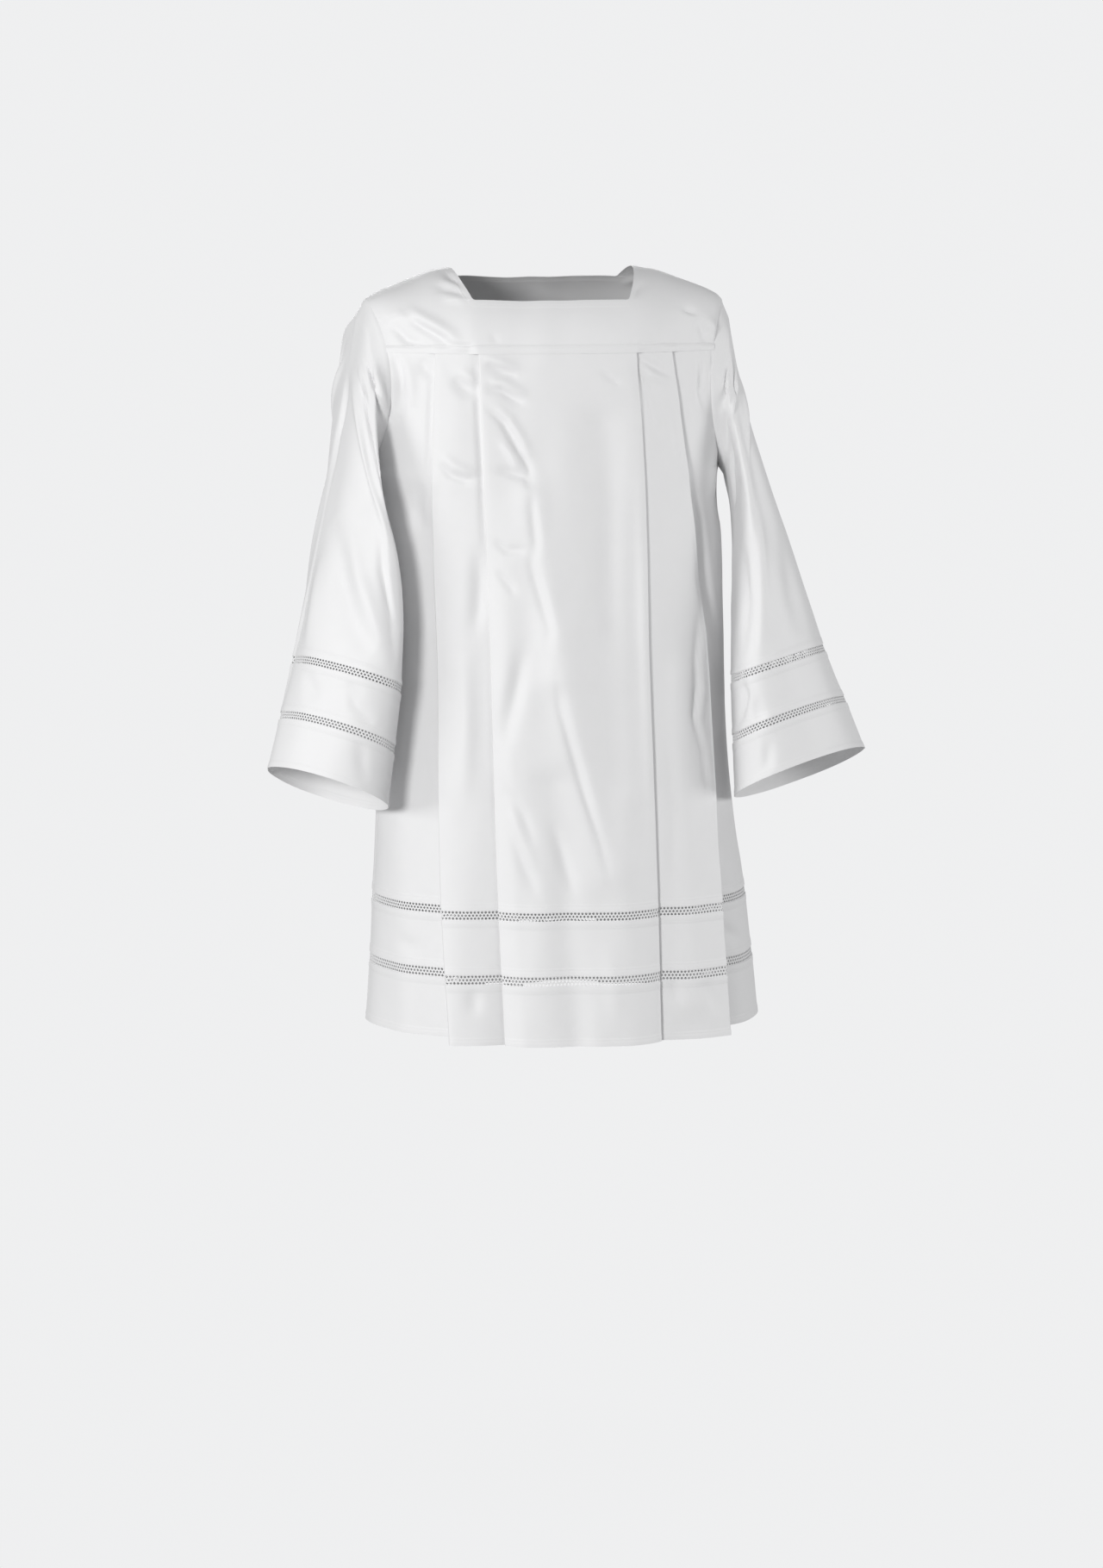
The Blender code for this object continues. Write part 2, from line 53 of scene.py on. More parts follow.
CLOTH = 0.0008
NET = 0.0007
PINCH = 0.0022

# Where cloth is turned under and stitched down, it stands proud for this width, its stitches
# lie in a small groove, and each net is tucked a little way behind it. Rows of points lie at
# these distances from such an edge.
BAND, BAND_RISE, BAND_SOFT = 0.008, 0.00055, 0.0006
STITCH_LINE, STITCH_DIP, STITCH_GROOVE = 0.007, 0.00035, 0.0007
BAND_ROWS = (0.0, 0.003, 0.0058, 0.007, 0.0076, 0.0084, 0.0105)
TUCK, NET_SINK = 0.0012, 0.0003
YOKE_OVERLAP, YOKE_RISE = 0.0016, 0.0013

# The way each face looks along Y, and the way each side lies along X.
FORWARD = {"front": -1.0, "back": 1.0}
HAND = {"left": -1.0, "right": 1.0}

# The cut and the worn shape, with the solids' own values.
ARMHOLE_X, ARMHOLE_Z = 0.212, -0.136
ARMHOLE_HALF_HEIGHT, ARMHOLE_HALF_DEPTH, ARMHOLE_HOLLOW = 0.1, 0.075, 0.022
UNDERARM = ARMHOLE_Z - ARMHOLE_HALF_HEIGHT
YOKE_SEAM = {"front": -0.094, "back": -0.112}
LACE_UPPER_TOP, LACE_UPPER_END = -0.7465, -0.7575
LACE_LOWER_TOP, LACE_LOWER_END = -0.8215, -0.8335
HEM = -0.9045

Section = namedtuple("Section", "height left right front back roundness outer_step inner_step")
SECTIONS = [
    Section(-0.094, -0.212, 0.212, 0.113, 0.1, 2.5, 0.0022, 0.0022),
    Section(-0.16, -0.212, 0.212, 0.121, 0.112, 2.5, 0.003, 0.0024),
    Section(-0.236, -0.212, 0.212, 0.128, 0.118, 2.5, 0.0044, 0.0027),
    Section(-0.262, -0.2055, 0.2105, 0.13, 0.119, 2.46, 0.005, 0.0029),
    Section(-0.32, -0.2, 0.214, 0.133, 0.12, 2.4, 0.0064, 0.0033),
    Section(-0.45, -0.1975, 0.2175, 0.138, 0.122, 2.3, 0.01, 0.0044),
    Section(-0.6, -0.199, 0.225, 0.144, 0.13, 2.15, 0.0155, 0.0056),
    Section(-0.68, -0.2015, 0.235, 0.148, 0.135, 2.1, 0.0182, 0.006),
    Section(-0.75, -0.206, 0.246, 0.151, 0.141, 2.05, 0.021, 0.0064),
    Section(-0.904, -0.2165, 0.263, 0.158, 0.153, 2.0, 0.027, 0.007),
]
Folds = namedtuple("Folds", "height outer_left inner_left inner_right outer_right")
PLEATS = {
    "front": [
        Folds(-0.094, -0.139, -0.0905, 0.0935, 0.139),
        Folds(-0.235, -0.145, -0.086, 0.101, 0.157),
        Folds(-0.45, -0.142, -0.081, 0.104, 0.182),
        Folds(-0.735, -0.1405, -0.0755, 0.112, 0.193),
        Folds(-0.904, -0.134, -0.0695, 0.115, 0.202),
    ],
    "back": [
        Folds(-0.112, -0.138, -0.088, 0.088, 0.138),
        Folds(-0.45, -0.142, -0.083, 0.1, 0.158),
        Folds(-0.904, -0.146, -0.07, 0.118, 0.19),
    ],
}
# How far each pleat's cloth turns back under its fold, from left to right, and how much of the
# outer pleat's height is lost on the way to the inner one.
UNDERLAY = {"front": (0.034, 0.022, 0.018, 0.044), "back": (0.036, 0.022, 0.022, 0.036)}
LEVEL_LOSS, LOSS_POWER = 0.42, 1.17
PLEAT_EASE = 0.02

# Broad folds that the solids have too: a line seen from the front, its width and its lift.
Crease = namedtuple("Crease", "x_top z_top x_end z_end width lift")
BROAD_CREASES = {
    "front": [
        Crease(-0.03, -0.26, -0.008, -0.47, 0.02, 0.005),
        Crease(0.01, -0.42, 0.05, -0.7, 0.024, 0.005),
        Crease(0.052, -0.18, 0.062, -0.42, 0.022, -0.004),
        Crease(-0.01, -0.6, 0.012, -0.9, 0.022, -0.005),
        Crease(0.07, -0.62, 0.078, -0.9, 0.02, 0.0045),
        Crease(-0.178, -0.3, -0.176, -0.9, 0.018, 0.0045),
        Crease(0.14, -0.48, 0.15, -0.86, 0.02, 0.0045),
        Crease(0.214, -0.72, 0.226, -0.9, 0.02, 0.004),
    ],
    "back": [
        Crease(-0.036, -0.25, -0.04, -0.9, 0.022, 0.006),
        Crease(0.03, -0.33, 0.06, -0.9, 0.024, 0.006),
        Crease(0.0, -0.5, 0.012, -0.9, 0.02, -0.005),
        Crease(-0.176, -0.32, -0.18, -0.9, 0.018, 0.005),
        Crease(0.19, -0.32, 0.22, -0.9, 0.02, 0.005),
    ],
}

Shoulder = namedtuple("Shoulder", "x height")
SHOULDER = [
    Shoulder(0.0, 0.0),
    Shoulder(0.11, 0.0),
    Shoulder(0.135, -0.004),
    Shoulder(0.155, -0.011),
    Shoulder(0.176, -0.019),
    Shoulder(0.197, -0.0278),
    Shoulder(0.212, -0.036),
]
NECK_TOP_HALF = 0.109
NECK_END_HALF = {"front": 0.092, "back": 0.1}
NECK_TURN = {"front": 52, "back": 30}
NECK_SHIFT = -0.003
# Beyond this part of its half width a yoke bends to the armhole. From this turn on down, it
# does so as the skirt's top does, which starts a little above the yoke's seam.
YOKE_BLEND, YOKE_BLEND_TURN = 0.6, 55
SKIRT_TUCK = 0.004

Ring = namedtuple(
    "Ring", "way outer_x outer_y outer_z inner_x inner_y inner_z front_x front_y front_z"
)
SLEEVES = {
    "left": [
        Ring(0.08, -0.2235, -0.003, -0.06, -0.22, -0.01, -0.248, 0.014, -0.08, 0.0),
        Ring(0.3, -0.236, -0.012, -0.13, -0.213, -0.045, -0.295, 0.014, -0.085, 0.004),
        Ring(0.55, -0.2545, -0.028, -0.232, -0.19, -0.085, -0.352, 0.014, -0.08, 0.008),
        Ring(0.78, -0.279, -0.045, -0.34, -0.183, -0.105, -0.415, 0.012, -0.074, 0.01),
        Ring(1.0, -0.3047, -0.06, -0.4527, -0.185, -0.115, -0.484, 0.006, -0.07, 0.012),
        Ring(2.0, -0.3377, -0.075, -0.5846, -0.1995, -0.1, -0.632, 0.004, -0.07, 0.02),
    ],
    "right": [
        Ring(0.08, 0.2235, 0.0, -0.062, 0.22, -0.004, -0.248, -0.012, -0.078, 0.0),
        Ring(0.3, 0.237, -0.004, -0.142, 0.227, -0.02, -0.298, -0.008, -0.08, 0.004),
        Ring(0.55, 0.264, -0.013, -0.235, 0.2245, -0.045, -0.358, -0.008, -0.079, 0.008),
        Ring(0.78, 0.3005, -0.022, -0.343, 0.2175, -0.07, -0.418, -0.01, -0.078, 0.01),
        Ring(1.0, 0.3359, -0.03, -0.4537, 0.214, -0.088, -0.481, -0.01, -0.079, 0.012),
        Ring(2.0, 0.3871, -0.035, -0.582, 0.2175, -0.096, -0.626, -0.01, -0.08, 0.024),
    ],
}
Furrow = namedtuple("Furrow", "turn_top way_top turn_end way_end width lift")
BROAD_FURROWS = {
    "left": [
        Furrow(118, 0.06, 150, 0.42, 16, -0.008),
        Furrow(60, 0.05, 72, 0.5, 16, -0.0045),
        Furrow(30, 0.1, 40, 1.0, 16, 0.004),
        Furrow(250, 0.06, 236, 0.8, 20, -0.006),
        Furrow(310, 0.1, 300, 1.6, 20, 0.005),
    ],
    "right": [
        Furrow(112, 0.06, 140, 0.45, 16, -0.008),
        Furrow(64, 0.05, 70, 0.55, 16, -0.0045),
        Furrow(36, 0.1, 44, 1.1, 16, 0.004),
        Furrow(250, 0.06, 240, 0.85, 20, -0.006),
        Furrow(310, 0.1, 302, 1.6, 20, 0.005),
    ],
}
DEGREES_PER_WAY = 90
SLEEVE_LACE_UPPER_END, SLEEVE_LACE_LOWER_TOP, SLEEVE_LACE_LOWER_END = 1.075, 1.495, 1.57
CUFF_EDGE = 2.0


def curve(table, column, places):
    """One named column of a table at these places, on a smooth curve through its rows."""
    keys = np.array([row[0] for row in table])
    values = np.array([getattr(row, column) for row in table])
    order = np.argsort(keys)
    keys, values = keys[order], values[order]
    slopes = np.gradient(values, keys)
    places = np.clip(places, keys[0], keys[-1])
    step = np.clip(np.searchsorted(keys, places) - 1, 0, len(keys) - 2)
    span = keys[step + 1] - keys[step]
    t = (places - keys[step]) / span
    ends = values[step] * (1 + 2 * t) * (1 - t) ** 2 + values[step + 1] * t**2 * (3 - 2 * t)
    return ends + span * (slopes[step] * t * (1 - t) ** 2 - slopes[step + 1] * t**2 * (1 - t))


def unit(vectors):
    return vectors / np.linalg.norm(vectors, axis=-1, keepdims=True)


def run(steps):
    """How far each place lies from the first, by the steps between them."""
    return np.concatenate([[0], np.cumsum(steps)])


def between(places, along, line):
    """Values of a line of triples at these places along it."""
    return np.stack([np.interp(places, along, line[:, axis]) for axis in range(3)], -1)


def smooth(low, high, value):
    """0 below low, 1 above high, and an even curve between them."""
    t = np.clip((value - low) / (high - low), 0, 1)
    return t * t * (3 - 2 * t)


def along_line(x, z, x_top, z_top, x_end, z_end, width, lift):
    """Height of a soft ridge or trough that fades out from a straight line."""
    line = np.array([x_end - x_top, z_end - z_top])
    t = np.clip(((x - x_top) * line[0] + (z - z_top) * line[1]) / (line @ line), 0, 1)
    gap = np.hypot(x - x_top - t * line[0], z - z_top - t * line[1])
    return lift * np.exp(-((gap / width) ** 2))


def armhole(side, theta):
    theta = np.radians(theta)
    return np.stack(
        [
            HAND[side] * (ARMHOLE_X - ARMHOLE_HOLLOW * np.sin(theta) ** 2),
            -ARMHOLE_HALF_DEPTH * np.sin(theta),
            ARMHOLE_Z + ARMHOLE_HALF_HEIGHT * np.cos(theta),
        ],
        axis=-1,
    )


def armhole_angle(height):
    return np.degrees(np.arccos(np.clip((height - ARMHOLE_Z) / ARMHOLE_HALF_HEIGHT, -1, 1)))


def ends_at(height):
    """The skirt's left and right ends at one height, and how square it is there."""
    return [float(curve(SECTIONS, column, height)) for column in ("left", "right", "roundness")]


def base(face, height, alpha):
    """Points and outward directions on the skirt's base surface at one height."""
    left, right, square = ends_at(height)
    depth = curve(SECTIONS, face, height)
    forward = FORWARD[face]
    half = (right - left) / 2
    sine, cosine = np.sin(alpha), np.maximum(np.cos(alpha), 0)
    across = np.sign(sine) * abs(sine) ** (2 / square)
    deep = cosine ** (2 / square)
    level = np.full(len(alpha), height)
    points = np.stack([(left + right) / 2 + half * across, forward * depth * deep, level], -1)
    steep = np.sign(sine) * abs(across) ** (square - 1) / half
    out = np.stack([steep, forward * deep ** (square - 1) / depth, np.zeros(len(alpha))], -1)
    return points, unit(out)


def alpha_at(height, x):
    """The base surface's angle at one height that gives this X."""
    left, right, square = ends_at(height)
    across = (2 * np.asarray(x, float) - left - right) / (right - left)
    return np.sign(across) * np.arcsin(np.minimum(abs(across), 1) ** (square / 2))


# Stations across one pleat: side, flap, turns, the panel between two folds, and the centre.
SIDE_STEPS, FLAP_STEPS, PANEL_STEPS, MIDDLE_STEPS = 22, 9, 22, 56
# How far a fold's edge is pressed onto the panel under it, and how round the edge is.
PRESSED, FOLD_ROUND = 0.75, 0.035
FOLD_TURN = np.radians(np.linspace(0, 180, 7)[1:-1])
PINCH_TURN = np.radians(np.linspace(0, 180, 5)[1:-1])


def half_path(face, height, way):
    """Stations from one side seam to the centre, as rows of angle, lift off the base, and shift."""
    names = ("outer_left", "inner_left") if way < 0 else ("outer_right", "inner_right")
    widths = UNDERLAY[face][:2] if way < 0 else UNDERLAY[face][:1:-1]
    edges = [float(curve(PLEATS[face], name, height)) for name in names]
    flap = np.linspace(0, 1, FLAP_STEPS)
    parts = []

    def add(x, lift, shift=0.0):
        x = alpha_at(height, x)
        parts.append(np.stack(np.broadcast_arrays(x, lift, shift), -1))

    below = 0.0
    for pleat, (edge, width, step) in enumerate(zip(edges, widths, ("outer_step", "inner_step"))):
        rise = 2 * max(float(curve(SECTIONS, step, height)), PINCH)
        top = below + rise
        radius = PINCH / 2 + FOLD_ROUND * (rise - 2 * PINCH)
        under = edge - way * width * flap
        if pleat == 0:
            end = way * math.pi / 2
            if height > UNDERARM:
                end = float(alpha_at(height, way * armhole("right", armhole_angle(height))[0]))
            turn = float(alpha_at(height, edge))
            side = end + (turn - end) * np.linspace(0, 1, SIDE_STEPS + 1)[:-1]
            parts.append(np.stack([side, 0 * side, 0 * side], -1))
        add(under, below)
        pinch = below + PINCH / 2 * (1 - np.cos(PINCH_TURN))
        add(np.full(len(pinch), under[-1]), pinch, -way * PINCH / 2 * np.sin(PINCH_TURN))
        low = PRESSED * (rise - 2 * PINCH) if pleat else 0.0
        add(under[::-1], below + PINCH + (rise - low - PINCH - 2 * radius) * flap)
        fold = top - low - 2 * radius + radius * (1 - np.cos(FOLD_TURN))
        add(np.full(len(fold), edge), fold, way * PINCH / 2 * np.sin(FOLD_TURN))
        if pleat == 0:
            share = np.linspace(0, 1, PANEL_STEPS + 1)[:-1]
            kept = 1 - LEVEL_LOSS * share**LOSS_POWER
            level = np.maximum(below + rise * kept, below + 2 * PINCH)
            add(edge + (edges[1] - edge) * share, level)
            below = max(below + rise * (1 - LEVEL_LOSS), below + 2 * PINCH)
        else:
            add(under, top - PRESSED * (rise - 2 * PINCH) * (1 - flap) ** 2)
    return np.concatenate(parts)


# Fine folds fade out this near to the side seams and armholes, and pass from yoke to skirt
# over this much of the yoke above its seam.
SEAM_FADE, YOKE_FADE = 0.008, 0.016


def seam_gap(grid):
    """Distance of every point from the nearer end of its row."""
    first, last = (np.linalg.norm(grid - grid[:, [end]], axis=-1) for end in (0, -1))
    return np.minimum(first, last)


def skirt_grid(face, heights, lifts):
    """Points of the pleated cloth, a row for each height. Rows run so that they face outwards."""
    forward = FORWARD[face]
    rows, outs, flats = [], [], []
    fade = (1 - np.linspace(0, 1, SIDE_STEPS + 1)[:-1]) ** 2
    for height in heights:
        left, right = half_path(face, height, -1), half_path(face, height, 1)[::-1]
        share = np.linspace(0, 1, MIDDLE_STEPS + 1)[1:-1, None]
        stations = np.concatenate([left, left[-1] * (1 - share) + right[0] * share, right])
        points, out = base(face, height, stations[:, 0])
        flats.append(points[:, 0].copy())
        points[:, 0] += stations[:, 2]
        points[:, 1] += forward * stations[:, 1]
        if height > UNDERARM:
            for side, order in (("left", slice(None)), ("right", slice(None, None, -1))):
                seam = armhole(side, armhole_angle(height)) * [1, -forward, 1]
                ends = points[order][:SIDE_STEPS]
                ends += (seam - ends[0]) * fade[:, None]
        else:
            points[[0, -1], 1] = 0.0
        rows.append(points)
        outs.append(out)
    points, outs, flats = np.array(rows), np.array(outs), np.array(flats)
    levels = np.array(heights)[:, None] + 0 * flats
    for crease in BROAD_CREASES[face]:
        points += outs * along_line(flats, levels, *crease)[..., None]
    free = smooth(0, SEAM_FADE, seam_gap(points))
    wave = drape(f"{face}_skirt", flats, levels) * free + np.reshape(lifts, (-1, 1))
    points += outs * wave[..., None]
    if face == "back":
        points = points[:, ::-1]
    return points


def pleat_stack(face, x, turn):
    """How far the yoke stands out over the pleats under it: a ramp that steps near its seam."""
    folds = PLEATS[face][0]
    foot = folds.outer_right + PLEAT_EASE
    ramp = 4 * PINCH * smooth(0, 1, (foot - x) / (foot - folds.inner_right))
    steps = 0.0
    for fold in (folds.outer_right, folds.inner_right):
        steps += 2 * PINCH * (1 - smooth(0, STEP_SOFT, x - fold))
    near = smooth(90 - STEP_REACH, 90, turn)
    return ramp * (1 - near) + steps * near


def yoke_point(face, part, turn):
    """Point of a yoke. Part is -1 to 1 across, turn 0 on the shoulder and 90 at its seam."""
    seam = YOKE_SEAM[face]
    forward = FORWARD[face]
    side = "left" if part < 0 else "right"
    edge = armhole(side, armhole_angle(seam) * turn / 90) * [1, -forward, 1]
    x = abs(part) * abs(edge[0])
    top = curve(SHOULDER, "height", x)
    cover = pleat_stack(face, x, turn)
    ends = base(face, seam, alpha_at(seam, np.array([x, abs(edge[0])])))[0]
    depth, last_depth = abs(ends[0, 1]) + cover, abs(ends[1, 1])
    last_top = curve(SHOULDER, "height", abs(edge[0]))
    ahead, upright = forward * math.sin(math.radians(turn)), math.cos(math.radians(turn))
    point = np.array([math.copysign(x, part), depth * ahead, seam + (top - seam) * upright])
    last = np.array([edge[0], last_depth * ahead, seam + (last_top - seam) * upright])
    close = smooth(YOKE_BLEND_TURN, 90, turn)
    blend = smooth(YOKE_BLEND, 1, abs(part)) * (1 - close)
    blend += skirt_blend(face, side, abs(part)) * close
    return point + (edge - last) * blend


def skirt_blend(face, side, part):
    """How far the skirt's top follows the armhole, at this part of the way from its middle."""
    seam = YOKE_SEAM[face]
    end = abs(armhole(side, armhole_angle(seam))[0])
    fold = PLEATS[face][0].outer_right
    last, here, turn = (float(alpha_at(seam, x)) for x in (end, part * end, fold))
    return min(max((here - turn) / (last - turn), 0), 1) ** 2


# How soft the yoke's steps over the pleats are, and how many degrees above its seam they reach.
STEP_SOFT, STEP_REACH = 0.01, 9
SHOULDER_STEPS, NECK_STEPS = 32, 64
NECK_ROWS, LOWER_ROWS = 17, 30
CORNER_TURN = np.radians(np.linspace(0, 90, 9)[1:])
# Metres of a yoke's cloth for each degree of its turn.
YOKE_ARC = {"front": 0.00166, "back": 0.0019}
CORNER_ROUND = 0.003


def neck_half(face, turn):
    """Half width of the neck opening, with its bottom corners rounded."""
    drop = 1 - math.cos(math.radians(min(turn, NECK_TURN[face])))
    slant = drop / (1 - math.cos(math.radians(NECK_TURN[face])))
    half = NECK_TOP_HALF + (NECK_END_HALF[face] - NECK_TOP_HALF) * slant
    above = max(NECK_TURN[face] - turn, 0) * YOKE_ARC[face] / CORNER_ROUND
    return half - CORNER_ROUND * (1 - math.sqrt(1 - max(1 - above, 0) ** 2))


def yoke_grid(face):
    """A yoke as a grid from the shoulder line to its seam, and the cells of its neck opening."""
    neck_end, arc = NECK_TURN[face], YOKE_ARC[face]
    corner = CORNER_ROUND / arc
    above = list(np.linspace(0, neck_end - corner, NECK_ROWS))
    above += list(neck_end - corner * (1 - np.sin(CORNER_TURN)))
    below = [neck_end + gap / arc for gap in BAND_ROWS[1:]]
    seam_rows = [90 - gap / arc for gap in reversed(BAND_ROWS)]
    lower = np.linspace(below[-1], seam_rows[0], LOWER_ROWS + 1)[1:-1]
    turns = above + below + list(lower) + seam_rows
    grid, gaps = [], []
    for turn in turns:
        half, edge = neck_half(face, turn), abs(yoke_point(face, 1, turn)[0])
        sides = []
        for middle in (-NECK_SHIFT, NECK_SHIFT):
            near = [half + middle + gap for gap in BAND_ROWS]
            sides.append(near + list(np.linspace(near[-1], edge, SHOULDER_STEPS + 1)[1:]))
        inside = list(np.linspace(NECK_SHIFT - half, NECK_SHIFT + half, NECK_STEPS + 1)[1:-1])
        across = [-x for x in reversed(sides[0])] + inside + sides[1]
        grid.append([yoke_point(face, x / edge, turn) for x in across])
        beside = np.maximum(abs(np.array(across) - NECK_SHIFT) - half, 0)
        gaps.append(np.hypot(beside, max(turn - neck_end, 0) * arc))
    grid, gaps = np.array(grid), np.array(gaps)
    grid = np.concatenate([grid, grid[-1:] - [0, 0, YOKE_OVERLAP]])
    gaps = np.concatenate([gaps, gaps[-1:]])
    to_seam = np.array([(90 - turn) * arc for turn in turns] + [-YOKE_OVERLAP])[:, None]
    lift = turned_edge(gaps) + turned_edge(to_seam) / BAND_RISE * YOKE_RISE
    free = smooth(0, SEAM_FADE, seam_gap(grid)) * smooth(0, YOKE_FADE, 90 * arc - to_seam)
    own = smooth(0, YOKE_FADE, to_seam)
    across, down = grid[..., 0], grid[..., 2]
    lift += free * own * drape(f"{face}_yoke", across, down)
    lift += free * (1 - own) * drape(f"{face}_skirt", across, down)
    if face == "back":
        grid, lift = grid[:, ::-1], lift[:, ::-1]
    grid = grid + outward(grid, False) * lift[..., None]
    shoulder_cells = len(BAND_ROWS) + SHOULDER_STEPS - 1
    open_columns = range(shoulder_cells, shoulder_cells + NECK_STEPS)
    missing = {(row, column) for row in range(len(above) - 1) for column in open_columns}
    return grid, missing, len(above) - 1, shoulder_cells


SLEEVE_TURNS = np.linspace(0, 360, 181)[:-1]
RING_RADIUS, SLEEVE_LENGTH, CUFF_LENGTH = 0.067, 0.4, 0.145
HEAD_RISE, HEAD_WIDTH, HEAD_START = 0.0012, 0.006, 0.003


def sleeve_ring(side, way):
    """Points of one sleeve ring. Way is 0 at the armhole, 1 at the first net, 2 at the cuff."""
    if 1 < way < CUFF_EDGE:
        ends = [sleeve_ring(side, end) for end in (1, CUFF_EDGE)]
        return ends[0] * (CUFF_EDGE - way) + ends[1] * (way - 1)
    table = SLEEVES[side]
    near = min(way, table[0].way) / table[0].way
    place = max(way, table[0].way)
    outer, inner, front = (
        np.array([float(curve(table, f"{what}_{axis}", place)) for axis in "xyz"])
        for what in ("outer", "inner", "front")
    )
    turn = np.radians(SLEEVE_TURNS)[:, None]
    spoke = (outer - inner) / 2 * np.cos(turn) + front * np.sin(turn)
    lift = np.zeros(len(SLEEVE_TURNS))
    down = np.full(len(SLEEVE_TURNS), way * DEGREES_PER_WAY)
    for furrow in BROAD_FURROWS[side]:
        top = (furrow.turn_top, furrow.way_top * DEGREES_PER_WAY)
        end = (furrow.turn_end, furrow.way_end * DEGREES_PER_WAY)
        lift += along_line(SLEEVE_TURNS, down, *top, *end, furrow.width, furrow.lift)
    points = (outer + inner) / 2 + spoke + unit(spoke) * lift[:, None]
    return armhole(side, SLEEVE_TURNS) * (1 - near) + points * near


def sleeve_down(way):
    """Metres down the sleeve's cloth from its armhole, as a height below zero."""
    return -SLEEVE_LENGTH * min(way, 1) - CUFF_LENGTH * max(way - 1, 0)


def sleeve_grid(side, downs, lifts):
    """Rings of a sleeve at these places down its cloth, in columns that face outwards."""
    downs, lifts = np.reshape(downs, (-1, 1)), np.reshape(lifts, (-1, 1))
    ends = (0, SLEEVE_LENGTH, SLEEVE_LENGTH + CUFF_LENGTH)
    ways = np.interp(-downs[:, 0], ends, (0, 1, CUFF_EDGE))
    grid = np.array([sleeve_ring(side, way) for way in ways])
    round_way = np.radians(SLEEVE_TURNS) * RING_RADIUS
    hand = 1 if side == "left" else -1
    out = outward(grid, True) * hand
    wave = drape(f"{side}_sleeve", round_way[None, :], downs)
    wave += lifts + HEAD_RISE * np.exp(-((downs / HEAD_WIDTH) ** 2))
    grid += out * (wave * smooth(0, HEAD_START, -downs))[..., None]
    return grid if hand > 0 else grid[:, ::-1]
